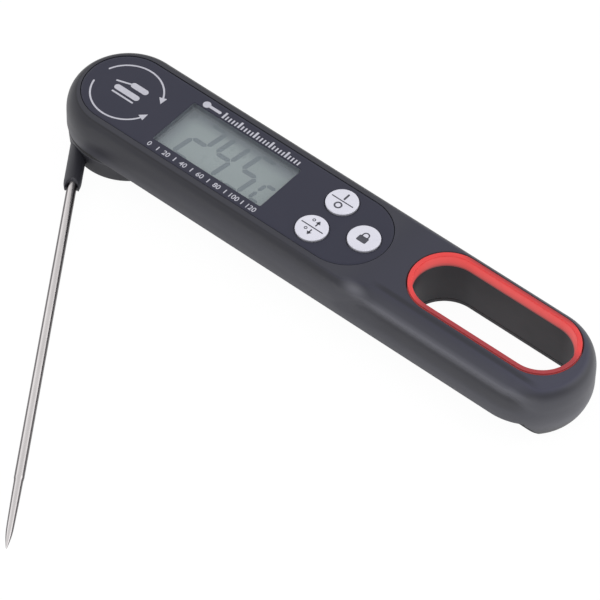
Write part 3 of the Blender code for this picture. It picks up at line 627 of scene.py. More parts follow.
def paint_liner_glow():
    """A painted glow: the liner's walls give off red light of their own, while its flat rim stays
    deeper.
    """
    graph = Graph(MAT["liner"])
    normal = graph.add("NewGeometry", output="Normal")
    by_slope = graph.remap(graph.part(normal, "Z"), 0.3, 0.8, to_low=0.2, to_high=0.0)
    coord = graph.add("TexCoord", output="Object")
    by_height = graph.remap(graph.part(coord, "Z"), 16.95 * MM, 16.6 * MM)
    graph.set_shader({
        "Emission Color": (1.0, 0.2, 0.19, 1.0),
        "Emission Strength": graph.maths("MULTIPLY", by_slope, by_height),
    })


def paint_steel_reflection():
    """A painted reflection: the steel turns dark where it would mirror the table along its sides and
    stays pale where it would mirror the light above, on its top.
    """
    graph = Graph(MAT["steel"])
    reflection = graph.add("TexCoord", output="Reflection")
    upward = graph.remap(graph.part(reflection, "Z"), 0.0, 0.45, interpolation="SMOOTHSTEP")
    mixed = graph.mix_colour(upward, srgb("#605C5D"), graph.base_colour())
    graph.set_shader({"Base Color": mixed})


# lays the painted light and shade, the liner's painted glow and the steel's painted reflection
for row in PAINTED_LIGHT_AND_SHADE:
    paint_light_and_shade(*row)
paint_liner_glow()
paint_steel_reflection()


# ---------------------------------------------------------------- the handle's form
# The grip's hollow side, from the top down: depth below the face, inset from the outline.
GRIP_SECTION = (
    (0.0, 6.1), (0.4, 5.0), (1.0, 3.85), (1.55, 2.98), (1.95, 2.5), (2.6, 2.28), (3.25, 2.36),
    (3.85, 2.2), (4.7, 1.62), (5.8, 0.98), (7.0, 0.4), (8.2, 0.1), (9.4, 0.0),
)
# The housing's lower side: z, inset where the shell's lower edge is free, inset at the foot.
LOWER_SIDE = (
    (7.45, 0.0, 0), (7.32, 0.02, 0), (7.2, 0.07, 0), (7.09, 0.17, 0), (7.02, 0.3, 0),
    (6.97, 0.5, 0), (6.5, 0.5, 0), (5.8, 0.5, 0), (5.0, 0.5, 0), (4.2, 0.5, 0), (3.4, 0.5, 0),
    (2.7, 0.5, 0), (2.1, 0.5, 0), (1.85, 0.5, 0), (1.74, 0.5, 0.02), (1.66, 0.5, 0.08),
    (1.6, 0.5, 0.2),
)
# The back cover's side: z, inset at its upper edge.
COVER_SIDE = (
    (1.4, 0.2), (1.36, 0.08), (1.3, 0.02), (1.2, 0), (1.05, 0), (0.85, 0), (0.65, 0), (0.48, 0),
    (0.33, 0), (0.2, 0), (0.1, 0), (0.04, 0), (0.0, 0),
)
# The tail end of the room for the folded probe: z, end x.
CHANNEL_END = (
    (-6.0, 134.8), (3.0, 134.65), (4.0, 134.5), (4.8, 134.25), (5.6, 133.9), (6.2, 133.45),
    (6.7, 132.9), (7.0, 132.4),
)


def inset_low(z, normal_y):
    """How far the side has rounded in towards the back at height z."""
    far = smoothstep(0.2, 1.0, normal_y)
    round_in, round_up = 4.6 - 2.3 * far, 8.0 - 2.0 * far
    if z >= round_up:
        return 0.0
    return round_in * (1 - math.sqrt(max(0.0, 1 - (1 - z / round_up) ** 2)))


def stations():
    """Outline points (x, y, normal x, normal y, whether the shell's lower edge is free there)."""
    out = []
    x = 0.0
    while x < TAIL_X - 0.3:
        out.append((x, -BODY_R, 0.0, -1.0, True))
        x += 3.0 if x < 72 else 0.75 if x < 89.25 else 1.5 if x < 126 else 0.75
    for k in range(97):
        angle = math.radians(-90 + 180 * k / 96)
        normal_x, normal_y = math.cos(angle), math.sin(angle)
        x = TAIL_X + BODY_R * normal_x
        out.append((x, BODY_R * normal_y, normal_x, normal_y, angle < 0 and x < 132.6))
    for x in (118, 106, 94, 82, 70, 58, 46, 36, 26, 18, 14, 12.4, 11.6, 8, 4):
        out.append((x, BODY_R, 0.0, 1.0, x < 12))
    for k in range(96):
        angle = math.radians(90 + 180 * k / 96)
        normal_x, normal_y = math.cos(angle), math.sin(angle)
        out.append((BODY_R * normal_x, BODY_R * normal_y, normal_x, normal_y, True))
    return out


STATIONS = stations()


def side_points(x, normal_y, free):
    """(z, inset) down the housing's side at a station."""
    grip = smoothstep(GRIP_START, GRIP_FULL, x) * (1 - smoothstep(GRIP_FADE, GRIP_END, x))
    grip *= smoothstep(0.3, 0.95, -normal_y)
    out = []
    # Four steps to each unit of GRIP_SECTION; the plain side has its round shoulder in the first 6.
    for k in range(49):
        place = k / 4
        if place <= 6:
            turn = math.radians(15 * place)
            depth = SHOULDER_DOWN * (1 - math.cos(turn))
            inset = SHOULDER_IN * (1 - math.sin(turn))
        else:
            depth, inset = SHOULDER_DOWN + (9.4 - SHOULDER_DOWN) * (place - 6) / 6, 0.0
        if grip > 0:
            grip_depth, grip_inset = catmull(GRIP_SECTION, place)
            depth, inset = depth + grip * (grip_depth - depth), inset + grip * (grip_inset - inset)
        z = BODY_DEPTH - depth
        out.append((z, inset + inset_low(z, normal_y) - SHELL_GROW))
    for z, free_inset, foot_inset in LOWER_SIDE:
        inset = inset_low(z, normal_y) - SHELL_GROW * smoothstep(1.9, 6.0, z)
        if free:
            inset += free_inset
        out.append((z, inset + foot_inset))
    return out


def cover_points(_x, normal_y, _free):
    """(z, inset) down the back cover's side at a station."""
    return [(z, inset_low(z, normal_y) + edge_inset) for z, edge_inset in COVER_SIDE]


def form(name, points_at):
    """A loft of the handle's outline, with points_at giving the side at each station."""
    columns = [
        [(x - normal_x * inset, y - normal_y * inset, z) for z, inset in points_at(x, normal_y, free)]
        for x, y, normal_x, normal_y, free in STATIONS
    ]
    return loft(name, list(zip(*columns)))


def hub_room_cutter():
    """The room round the hub and along the folded probe."""
    start = math.degrees(math.asin(CHANNEL_WALL_Y / HUB_CLEAR_R))
    corner = CHANNEL_CORNER_R
    rings = []
    for z, end_x in CHANNEL_END:
        loop = arc(0, 0, HUB_CLEAR_R, start, 40, 64)
        loop += [(12.6, 22.0), (-20.0, 22.0), (-20.0, -22.0)]
        loop += [(end_x - 0.9, -22.0), (end_x - 0.4, -14.0)]
        loop += arc(end_x - corner, CHANNEL_WALL_Y - corner, corner, 0, 90, 6)
        rings.append([(x, y, z) for x, y in loop])
    return loft("cut_hub_room", rings, cutter=True)


hub_room = hub_room_cutter()
slot_hole = stack(
    "cut_slot_hole", stadium_outline(SLOT_X0, SLOT_X1, SLOT_Y, SLOT_WALL_R),
    [(0.62, -6), (0.62, -0.2), (0.46, 0.0), (0.26, 0.1), (0.1, 0.26), (0.0, 0.48), (0.0, 24)],
    cutter=True,
)


def build_housing():
    housing = form("main_housing_form", side_points)
    liner_seat = stack(
        "cut_liner_seat", stadium_outline(SLOT_X0, SLOT_X1, SLOT_Y, LINER_R + 0.27),
        [(0.0, 13.3), (0.0, 16.72), (0.03, 16.84), (0.1, 16.94), (0.22, 17.0), (0.3, 17.02),
         (0.3, 24)],
        cutter=True,
    )
    face_pocket = stack(
        "cut_face_pocket", stadium_outline(FACE_X0, FACE_X1, FACE_Y, FACE_R + 0.1),
        [(0.0, 15.7), (0.0, 16.84), (0.02, 16.91), (0.06, 16.97), (0.13, 17.0), (0.17, 17.02),
         (0.17, 20)],
        cutter=True,
    )
    front_cavity = prism_cutter("cut_front_cavity", stadium(-1.4, FACE_X1, FACE_Y, 10.4), 8.8, 18)
    back_cavity = slab_cutter("cut_back_cavity", BACK_CAVITY, -3, 9.6)
    battery_bay = round_cutter("cut_battery_bay", 7.7, -3, 9.5, at=BATTERY)
    spindle_bore = round_cutter("cut_spindle_bore", 4.9, 4, 12)
    groove_section = [(5.5, 7.9), (7.0, 7.9), (7.0, 5.0), (5.5, 5.0)]
    seal_groove = lathe("cut_seal_groove", groove_section, 64, cutter=True)
    for cutter in (
        hub_room, face_pocket, front_cavity, back_cavity, battery_bay, slot_hole, liner_seat,
        spindle_bore, seal_groove,
    ):
        boolean(housing, cutter)
    for number, at in enumerate(COVER_SCREWS, 1):
        boolean(housing, round_cutter(f"cut_cover_pilot_{number}", 1.1, -2, 7.2, 24, at))
    for number, at in enumerate(BOARD_SCREWS, 1):
        boolean(housing, round_cutter(f"cut_board_pilot_{number}", 0.85, 7.6, 12, 20, at))
    bake(housing)
    piece(housing, "handle", "housing", "main_housing")


# ---------------------------------------------------------------- back cover and battery door
def lugged(inner, outer, half_angle, turn):
    """A circle round the battery's centre with three lugs out to the outer radius."""
    loop = []
    for centre in DOOR_LUGS:
        angle = centre + turn
        start, end = angle - half_angle, angle + half_angle
        loop += arc(*BATTERY, outer, start, end, 8)
        loop += arc(*BATTERY, inner, end, angle + 120 - half_angle, 20)
    return loop


def build_cover():
    cover = form("back_cover_form", cover_points)
    boolean(cover, hub_room)
    boolean(cover, slot_hole)
    boolean(cover, round_cutter("join_door_boss", 7.4, 0.9, 2.0, at=BATTERY), "UNION")
    seat_profile = [
        (0, -3), (7.6, -3), (7.6, -0.05), (7.38, 0.0), (7.22, 0.12), (7.15, 0.3), (7.15, 1.3),
        (0, 1.3),
    ]
    boolean(cover, lathe("cut_door_seat", seat_profile, 96, BATTERY, cutter=True))
    boolean(cover, prism_cutter("cut_door_throat", lugged(6.3, 7.05, 18.0, 60.0), -3, 5))
    sink_profile = [
        (0, -2), (2.2, -2), (2.2, -0.03), (2.08, 0.03), (2.0, 0.15), (2.0, 0.9), (1.15, 0.9),
        (1.15, 4), (0, 4),
    ]
    for number, at in enumerate(COVER_SCREWS, 1):
        boolean(cover, lathe(f"cut_cover_sink_{number}", sink_profile, 40, at, cutter=True))
    # Two small round dimples sit beside the door.
    dimple_profile = [(0, -1), (0.55, -1), (0.55, 0.12), (0.4, 0.2), (0, 0.24)]
    for number, angle in enumerate((90.0, 150.0), 1):
        at = polar(*BATTERY, 8.6, angle)
        boolean(cover, lathe(f"cut_door_mark_{number}", dimple_profile, 24, at, cutter=True))
    bake(cover)
    piece(cover, "handle", "cover", "back_cover")


def build_door():
    """The battery door, with a fine ring groove, three lugs and a coin slot."""
    profile = [  # radius, z, fillet
        (0, 2.25, 0), (5.95, 2.25, 0), (5.95, 0.7, 0.05), (6.95, 0.7, 0.05), (6.95, 0.0, 0.3),
        (6.0, 0.0, 0.05), (5.9, 0.12, 0.05), (5.65, 0.12, 0.05), (5.55, 0.0, 0.05), (0, 0, 0),
    ]
    door = lathe("battery_door_form", rounded(profile), 96, BATTERY)
    lugs = prism_cutter("join_door_lugs", lugged(5.7, 6.9, 15.0, 0.0), 2.2, 2.8)
    boolean(door, lugs, "UNION")
    coin_slot = stack(
        "cut_coin_slot", stadium_outline(BATTERY_X - 3.8, BATTERY_X + 3.8, BATTERY_Y, 0.8, 16),
        [(0.2, -2), (0.2, 0.0), (0.08, 0.05), (0.0, 0.16), (0.0, 0.5), (-0.06, 0.55)],
        cutter=True,
    )
    boolean(door, coin_slot)
    bake(door)
    piece(door, "battery_cap", "cover", "battery_door")


build_housing()
build_cover()
build_door()


# ---------------------------------------------------------------- faceplate, window and display
def build_faceplate():
    face = stack(
        "faceplate_form", stadium_outline(FACE_X0, FACE_X1, FACE_Y, FACE_R),
        [(0.0, 16.0), (0.0, 16.76), (-0.03, 16.84), (-0.14, 16.9), (-0.5, 16.985), (-0.62, 17.0)],
    )
    window_cut = stack(
        "cut_window", rect_outline(WINDOW, 0.55, corners_grow=True),
        [(0.0, 14), (0.0, 16.86), (0.02, 16.93), (0.06, 16.98), (0.13, 17.01), (0.13, 19)],
        cutter=True,
    )
    boolean(face, window_cut)
    hole_profile = [
        (0, 14), (KEY_HOLE_R - 0.1, 14), (KEY_HOLE_R - 0.1, 16.84), (KEY_HOLE_R - 0.07, 16.93),
        (KEY_HOLE_R, 17.0), (KEY_HOLE_R + 0.06, 17.02), (KEY_HOLE_R + 0.06, 19), (0, 19),
    ]
    for key, at in KEYS.items():
        boolean(face, lathe(f"cut_key_{key}", hole_profile, 96, at, cutter=True))
    bake(face)
    piece(face, "handle", "faceplate", "faceplate")


def build_window():
    x0, x1, y0, y1 = WINDOW
    gap = WINDOW_GAP
    window = stack(
        "lcd_window_form",
        rect_outline((x0 + gap, x1 - gap, y0 + gap, y1 - gap), 0.45, corners_grow=True),
        [(-0.03, 16.08), (0.0, 16.12), (0.0, 16.86), (-0.02, 16.9), (-0.06, 16.92)],
    )
    piece(window, "handle", "window", "lcd_window")


def build_display_holder():
    """A rounded surround that reaches up round the window, with the seat for the glass below."""
    holder = stack(
        "lcd_frame_form", rect_outline(HOLDER, 0.8), [(0.0, 10.75), (0.0, 15.45), (-0.15, 15.6)]
    )
    lip_steps = [(-0.02, 15.2), (-0.02, 16.8)]
    boolean(holder, stack("join_lip", rect_outline(WINDOW, 0.5), lip_steps, cutter=True), "UNION")
    opening = stack(
        "cut_opening", rect_outline(WINDOW, 0.5, corners_grow=True),
        [(-0.12, 9), (-0.12, 14.6), (-0.1, 18)], cutter=True,
    )
    boolean(holder, opening)
    boolean(holder, slab_cutter("cut_glass_seat", GLASS_SEAT, 5, 14.5))
    bake(holder)
    piece(holder, "handle", "bezel", "lcd_frame")


def build_glass():
    glass = stack(
        "lcd_glass_form", rect_outline(GLASS, 0.3),
        [(-0.08, 12.4), (0.0, 12.48), (0.0, 14.34), (-0.06, 14.4)],
    )
    piece(glass, "handle", "lcd", "lcd_glass")


build_faceplate()
build_window()
build_display_holder()
build_glass()


# ---------------------------------------------------------------- flat marks: thin closed solids
# Levels are the bottom and top z of a mark.
def add_prism(mesh, loop, levels):
    low, top = ([mesh.verts.new(Vector((x, y, z)) * MM) for x, y in loop] for z in levels)
    mesh.faces.new(list(reversed(low)))
    mesh.faces.new(top)
    count = len(loop)
    for i in range(count):
        j = (i + 1) % count
        mesh.faces.new((low[i], low[j], top[j], top[i]))


def add_stroke(mesh, points, width, levels, closed=False):
    """A flat line of even width along a polyline, with round ends if it is open."""
    z_low, z_top = levels
    half = width / 2
    path = [(Vector(point), half) for point in points]
    if not closed:
        first, last = path[0][0], path[-1][0]
        start = (path[1][0] - first).normalized()
        end = (last - path[-2][0]).normalized()
        head, tail = [], []
        for share in (0.0, 0.08, 0.3, 0.6):
            narrowed = half * math.sqrt(max(0.0, 1 - (1 - share) ** 2)) + 0.02 * half
            head.append((first - start * half * (1 - share), narrowed))
            tail.insert(0, (last + end * half * (1 - share), narrowed))
        path = head + path + tail
    count = len(path)
    rows = []
    for i, (point, half_width) in enumerate(path):
        before = path[i - 1][0] if (closed or i > 0) else point
        after = path[(i + 1) % count][0] if (closed or i < count - 1) else point
        if (after - point).length and (point - before).length:
            along = (after - point).normalized() + (point - before).normalized()
        else:
            along = after - before
        along.normalize()
        side = Vector((-along.y, along.x)) * half_width
        left, right = point + side, point - side
        section = ((left, z_top), (right, z_top), (right, z_low), (left, z_low))
        rows.append([mesh.verts.new(Vector((spot.x, spot.y, z)) * MM) for spot, z in section])
    for row, following in list(zip(rows, rows[1:])) + ([(rows[-1], rows[0])] if closed else []):
        for i in range(4):
            j = (i + 1) % 4
            mesh.faces.new((row[i], following[i], following[j], row[j]))
    if not closed:
        mesh.faces.new(rows[0])
        mesh.faces.new(list(reversed(rows[-1])))


def add_arrow_head(mesh, x, y, heading, length, half_width, levels):
    """A triangle from the middle of its base at (x, y), pointing at heading degrees."""
    angle = math.radians(heading)
    along = Vector((math.cos(angle), math.sin(angle)))
    side = Vector((-math.sin(angle), math.cos(angle))) * half_width
    base = Vector((x, y))
    add_prism(mesh, [tuple(base + along * length), tuple(base + side), tuple(base - side)], levels)


def add_numerals(mesh, text, x, y, size, levels):
    """Plain numerals centred at x on the base line y."""
    z_low, z_top = levels
    curve = bpy.data.curves.new("numerals", "FONT")
    curve.body = text
    curve.size = size * MM
    curve.align_x = "CENTER"
    curve.fill_mode = "BOTH"
    curve.resolution_u = 4
    curve.offset = 0.012 * size * MM
    curve.extrude = (z_top - z_low) / 2 * MM
    text_object = bpy.data.objects.new("numerals", curve)
    WORK.objects.link(text_object)
    bpy.context.view_layer.update()
    graph = bpy.context.evaluated_depsgraph_get()
    made = bpy.data.meshes.new_from_object(text_object.evaluated_get(graph))
    made.transform(Matrix.Translation(Vector((x, y, (z_low + z_top) / 2)) * MM))
    bpy.data.objects.remove(text_object)
    bpy.data.curves.remove(curve)
    welded = bmesh.new()
    welded.from_mesh(made)
    bmesh.ops.remove_doubles(welded, verts=welded.verts, dist=0.000001)
    welded.to_mesh(made)
    welded.free()
    mesh.from_mesh(made)
    bpy.data.meshes.remove(made)


def build_print(name, body, material, slot_name, draw, *at):
    """One object of marks, drawn by draw(mesh, *at)."""
    mesh = bmesh.new()
    draw(mesh, *at)
    obj = to_object(name, mesh)
    obj.data.shade_flat()
    obj.data.materials.append(MAT[material])
    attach(obj, body)


# ---------------------------------------------------------------- print on the faceplate
SIGN_X, SIGN_Y, SIGN_R = -0.15, -0.4, 9.0
# The two curved arrows of the folding sign: arc start, arc end, head's place, head's heading.
SIGN_ARROWS = ((159.5, 27.0, 28, -69), (194.5, 333.0, 332, 69))
SCALE_X0, SCALE_PITCH = 15.0, 5.3
RULE_X0, RULE_PITCH, RULE_Y = 22.8, 0.98, 8.2
BULB_X, BULB_Y = 17.2, 9.17


def draw_face_marks(mesh):
    for start, end, head, heading in SIGN_ARROWS:
        add_stroke(mesh, arc(SIGN_X, SIGN_Y, SIGN_R, start, end, 60), 0.46, FACE_LINE_INK)
        x, y = polar(SIGN_X, SIGN_Y, SIGN_R, head)
        add_arrow_head(mesh, x, y, heading, 2.1, 1.0, FACE_INK)
    # open: a solid handle with its probe swung out from the end
    add_prism(mesh, rounded_rect(-1.1, 4.1, 1.55, 3.25, 0.84), FACE_INK)
    add_stroke(mesh, [(-0.9, 2.3), (-4.6, 1.05)], 0.5, FACE_LINE_INK)
    # folded: the probe lies along the handle
    add_prism(mesh, rounded_rect(-3.9, 3.7, -1.35, 0.35, 0.84), FACE_INK)
    add_stroke(mesh, [(-3.2, -2.25), (3.1, -2.25)], 0.5, FACE_INK)
    # a small thermometer sign and a graduated line on the display's +Y side
    add_stroke(mesh, [(18.1, BULB_Y), (21.3, BULB_Y)], 0.85, FACE_LINE_INK)
    add_prism(mesh, circle(BULB_X, BULB_Y, 1.05, 28), FACE_INK)
    for k in range(25):
        x = RULE_X0 + k * RULE_PITCH
        height, width = (2.1, 0.58) if k % 5 == 0 else (1.35, 0.42)
        left, right, top = x - width / 2, x + width / 2, RULE_Y + height
        add_prism(mesh, [(left, RULE_Y), (right, RULE_Y), (right, top), (left, top)], FACE_INK)
    # ticks and numerals on the display's -Y side
    for k in range(6):
        x = SCALE_X0 + (k + 0.5) * SCALE_PITCH
        add_stroke(mesh, [(x, -10.05), (x, -8.95)], 0.3, FACE_INK)
    for k in range(7):
        add_numerals(mesh, str(20 * k), SCALE_X0 + k * SCALE_PITCH, -10.2, 2.05, FACE_INK)


build_print("face_print", "handle", "face_ink", "key_plastic", draw_face_marks)

# ---------------------------------------------------------------- display segments
SEGMENTS = {"2": "abged", "4": "fgbc", "5": "afgcd", "C": "afed"}
# The ends of each bar, in half widths and half heights from the figure's centre.
SEGMENT_ENDS = {
    "a": ((-1, 1), (1, 1)), "g": ((-1, 0), (1, 0)), "d": ((-1, -1), (1, -1)),
    "f": ((-1, 0), (-1, 1)), "b": ((1, 0), (1, 1)), "e": ((-1, -1), (-1, 0)),
    "c": ((1, -1), (1, 0)),
}
SEGMENT_SLANT = 0.13


def add_seven_segment(mesh, text, x, y, width, height, bar):
    """One slanted seven-segment figure centred at (x, y)."""
    half_width, half_height = width / 2, height / 2
    gap = bar * 0.12
    for name in SEGMENTS[text]:
        start, end = (
            Vector((across * half_width, up * half_height)) for across, up in SEGMENT_ENDS[name]
        )
        along = (end - start).normalized()
        side = Vector((-along.y, along.x)) * bar / 2
        start, end = start + along * gap, end - along * gap
        tip = along * bar / 2
        loop = [start, start + tip - side, end - tip - side, end, end - tip + side,
                start + tip + side]
        add_prism(mesh, [(x + p.x + SEGMENT_SLANT * p.y, y + p.y) for p in loop], LCD_INK)


def draw_lcd_marks(mesh):
    """The reading 24.5 and its C."""
    for figure, x in (("2", 22.4), ("4", 29.85), ("5", 38.05)):
        add_seven_segment(mesh, figure, x, 0.42, width=4.6, height=12.9, bar=1.3)
    add_seven_segment(mesh, "C", 44.6, -2.6, width=2.9, height=5.9, bar=1.05)
    add_prism(mesh, circle(34.5, -6.0, 0.5, 16), LCD_INK)


build_print("lcd_segments", "handle", "lcd_ink", "display_glass", draw_lcd_marks)


# ---------------------------------------------------------------- keys
def draw_power_marks(mesh, x, y):
    """A line across the middle, a bar above it and a ring below."""
    add_stroke(mesh, [(x - 3.1, y + 0.1), (x + 3.1, y + 0.1)], 0.3, KEY_INK)
    add_stroke(mesh, [(x, y + 0.85), (x, y + 2.55)], 0.48, KEY_INK)
    add_stroke(mesh, circle(x, y - 1.55, 0.86, 32), 0.42, KEY_INK, closed=True)


def draw_unit_marks(mesh, x, y):
    """A line across the middle, with a degree ring and an arrow on each side of it."""
    add_stroke(mesh, [(x - 3.1, y + 0.1), (x + 3.1, y + 0.1)], 0.3, KEY_INK)
    for sign in (1, -1):
        middle = y + 0.1 + sign * 1.6
        shaft_x = x + 0.45
        add_stroke(mesh, circle(x - 1.05, middle + 0.45, 0.34, 20), 0.22, KEY_INK, closed=True)
        shaft = [(shaft_x, middle - sign * 0.8), (shaft_x, middle + sign * 0.15)]
        add_stroke(mesh, shaft, 0.36, KEY_INK)
        add_arrow_head(mesh, shaft_x, middle, 90 * sign, 1.0, 0.68, KEY_INK)


def draw_hold_marks(mesh, x, y):
    """A padlock."""
    add_prism(mesh, rounded_rect(x - 1.35, x + 1.35, y - 1.55, y + 0.3, 0.3, 4), KEY_INK)
    shackle = [(x - 0.8, y + 0.3)] + arc(x, y + 0.75, 0.8, 180, 0, 16) + [(x + 0.8, y + 0.3)]
    add_stroke(mesh, shackle, 0.34, KEY_INK)


KEY_PROFILE = (  # radius, z, fillet: the cap, its flange and the stem below
    (0, KEY_TOP, 0), (KEY_R, KEY_TOP, 0.42), (KEY_R, 15.6, 0.05), (4.5, 15.6, 0.1),
    (4.5, 14.9, 0.1), (2.0, 14.9, 0.1), (2.0, 12.5, 0.2), (0, 12.5, 0),
)
for key, draw in (
    ("power", draw_power_marks), ("unit", draw_unit_marks), ("hold", draw_hold_marks),
):
    button = lathe(f"{key}_button_form", rounded(KEY_PROFILE, steps=6), 96, KEYS[key])
    piece(button, f"{key}_key", "key", f"{key}_button")
    build_print(f"{key}_print", f"{key}_key", "key_ink", "key_plastic", draw, *KEYS[key])


# ---------------------------------------------------------------- red liner of the finger slot
def liner_lean(radius, z):
    """How far the wall at the tail end of the slot leans in at height z."""
    if radius >= LINER_IN_R + 0.4:
        return 0.0
    return 0.8 * (LINER_Z1 - z) / (LINER_Z1 - LINER_Z0)


def build_liner():
    section = [  # radius, z, fillet
        (LINER_R, LINER_Z0, 0.05), (LINER_R, LINER_Z1, 0.14), (LINER_IN_R, LINER_Z1, 0.3),
        (LINER_IN_R, LINER_Z0, 0.1),
    ]
    rings = []
    for radius, z in rounded(section, closed=True, steps=6):
        outline = stadium(SLOT_X0, SLOT_X1 - liner_lean(radius, z), SLOT_Y, radius)
        rings.append([(x, y, z) for x, y in outline])
    liner = loft("slot_liner_form", rings, closed=True)
    piece(liner, "handle", "liner", "slot_liner")


build_liner()

# ---------------------------------------------------------------- cover screws
SCREW_PROFILE = (  # radius, z, fillet: from the point up inside to the head at the back
    (0, 6.6, 0), (0.3, 6.5, 0.1), (0.8, 5.6, 0.1), (0.8, 0.75, 0.05), (1.75, 0.7, 0.08),
    (1.75, 0.32, 0.15), (1.2, 0.1, 0.3), (0, 0.06, 0),
)
DRIVE_STEPS = ((1.0, 0.24, -1.0), (0.98, 0.22, 0.1), (0.55, 0.12, 0.55))  # half length, width, z
SCREW_TURNS = (12, 57, 33, 71)


def drive_arm_cutter(name, x, y, angle):
    """One tapering arm of the cross in a screw's head."""
    cos, sin = math.cos(angle), math.sin(angle)
    rings = []
    for length, width, z in DRIVE_STEPS:
        corners = ((-length, -width), (length, -width), (length, width), (-length, width))
        rings.append([
            (x + cos * along - sin * across, y + sin * along + cos * across, z)
            for along, across in corners
        ])
    return loft(name, rings, cutter=True)


for number, (at, degrees) in enumerate(zip(COVER_SCREWS, SCREW_TURNS), 1):
    screw = lathe(f"cover_screw_{number}_form", rounded(SCREW_PROFILE), 48, at)
    for arm in (0, 1):
        angle = math.radians(degrees) + arm * math.pi / 2
        boolean(screw, drive_arm_cutter(f"cut_drive_{number}_{arm}", *at, angle))
    bake(screw)
    piece(screw, "handle", "screw", f"cover_screw_{number}")

# ---------------------------------------------------------------- the swinging hub and probe
SWING = Matrix.Rotation(math.radians(PROBE_OPEN), 4, "Z")
HUB_PROFILE = (  # radius, z, fillet
    (1.5, 10.7, 0.1), (4.4, 10.7, 0.05), (4.6, 10.1, 0.05), (4.0, 10.1, 0), (4.0, 9.4, 0),
    (4.6, 9.4, 0.05), (4.6, 6.78, 0.1), (14.35, 6.78, 0.2), (14.9, 5.95, 0.2), (14.6, 2.2, 0.5),
    (14.45, 1.0, 0.3), (14.3, 0.4, 0.3), (13.8, 0.0, 0.3), (11.3, 0.0, 0.25), (11.3, 1.2, 0.1),
    (9.8, 1.2, 0), (9.8, 4.7, 0), (1.5, 4.7, 0.1),
)
HUB_CAP_PROFILE = (  # radius, z, fillet
    (0, 0.95, 0), (11.1, 0.95, 0.1), (11.1, 0.0, 0.35), (9.2, 0.0, 0.06), (9.1, 0.14, 0.06),
    (8.7, 0.14, 0.06), (8.6, 0.0, 0.06), (0, 0.0, 0),
)
SLEEVE_PROFILE = (  # radius, distance from the hub's axis, fillet
    (SLEEVE_R, SLEEVE_START_X, 0.2), (SLEEVE_R, 19.3, 0.9), (SLEEVE_R - 0.42, SLEEVE_END_X, 0.25),
    (TUBE_R + TUBE_GAP, SLEEVE_END_X, 0.05), (TUBE_R + TUBE_GAP, SLEEVE_START_X, 0.05),
)
# The needle's outer side from the hub to the point, then back up the bore: radius, distance from
# the hub's axis.
NEEDLE_PROFILE = (
    (0.78, 4.0), (TUBE_R, 4.0), (TUBE_R, 60.0), (TUBE_R, 110.6), (1.215, 110.85), (1.19, 111.1),
    (1.14, 111.4), (1.105, 111.7), (1.095, 112.2), (1.06, 116.0), (1.02, 118.6), (0.98, 121.0),
    (0.935, 123.8), (0.88, 126.0), (0.80, 127.2), (0.69, 128.2), (0.54, 129.2), (0.40, 130.0),
    (0.27, 130.7), (0.16, 131.2), (0.08, 131.42), (0.0, 131.5), (0.0, 125.2), (0.45, 124.7),
    (0.60, 123.9), (0.60, 113.0), (0.78, 112.0),
)
# The round notch in the sleeve's end: z, shift towards the tip.
NOTCH_STEPS = ((-3.0, 0.6), (0.8, 0.6), (1.7, 1.0), (4.3, 1.0), (5.2, 0.6), (9.0, 0.6))


def along_probe(obj):
    """Lays a mesh that was turned about Z along the folded probe line."""
    lay = Matrix.Translation(Vector((0, PROBE_Y, PROBE_Z)) * MM)
    obj.data.transform(lay @ Matrix.Rotation(math.pi / 2, 4, "Y"))
    return obj


def hub_form():
    hub = lathe("probe_hub_form", rounded(HUB_PROFILE, closed=True, steps=5), 160)
    boolean(hub, along_probe(round_cutter("cut_sleeve_bore", SLEEVE_R + 0.16, 1.0, 40, 48)))
    bake(hub)
    return hub


def sleeve_form():
    profile = rounded(SLEEVE_PROFILE, closed=True, steps=6)
    sleeve = along_probe(lathe("probe_sleeve_form", profile, 80))
    rings = []
    for z, shift in NOTCH_STEPS:
        loop = arc(SLEEVE_END_X - 0.9 + shift, PROBE_Y, 1.7, 90, 270, 40)
        loop += [(SLEEVE_END_X + 3, PROBE_Y - 1.95), (SLEEVE_END_X + 3, PROBE_Y + 1.95)]
        rings.append([(x, y, z) for x, y in loop])
    boolean(sleeve, loft("cut_sleeve_notch", rings, cutter=True))
    bake(sleeve)
    return sleeve


hub = hub_form()
hub_cap = lathe("hub_cap_form", rounded(HUB_CAP_PROFILE), 128)
sleeve = sleeve_form()
needle = along_probe(lathe("probe_tube_form", NEEDLE_PROFILE, 48))
for obj, material, node, slot_name in (
    (hub, "hub", "probe_hub", "hub_plastic"),
    (hub_cap, "hub", "hub_cap", "hub_plastic"),
    (sleeve, "sleeve", "probe_sleeve", "hub_plastic"),
    (needle, "steel", "probe_tube", "stainless_steel"),
):
    obj.matrix_world = SWING
    piece(obj, "probe", material, node)

# ---------------------------------------------------------------- finishes of the inner CAD nodes
INNER = {
    "lcd_connector": "grey_rubber", "power_switch": "nickel", "unit_switch": "nickel",
    "hold_switch": "nickel", "keypad_membrane": "grey_rubber", "circuit_board": "board",
    "controller_chip": "chip", "board_screw_1": "screw", "board_screw_2": "screw",
    "coin_cell": "cell", "battery_cup": "white_plastic", "positive_contact": "nickel",
    "negative_contact": "nickel", "battery_door_seal": "black_rubber",
    "friction_washer": "screw", "hub_seal": "black_rubber", "lead_wire_red": "wire_red",
    "lead_wire_black": "wire_black", "retaining_clip": "screw", "temperature_sensor": "epoxy",
    "sensor_wire": "wire_red",
}
for node, material in INNER.items():
    target = frame["nodes"][node]
    target.data.materials.clear()
    target.data.materials.append(MAT[material])

for cutter in list(WORK.objects):
    bpy.data.objects.remove(cutter, do_unlink=True)


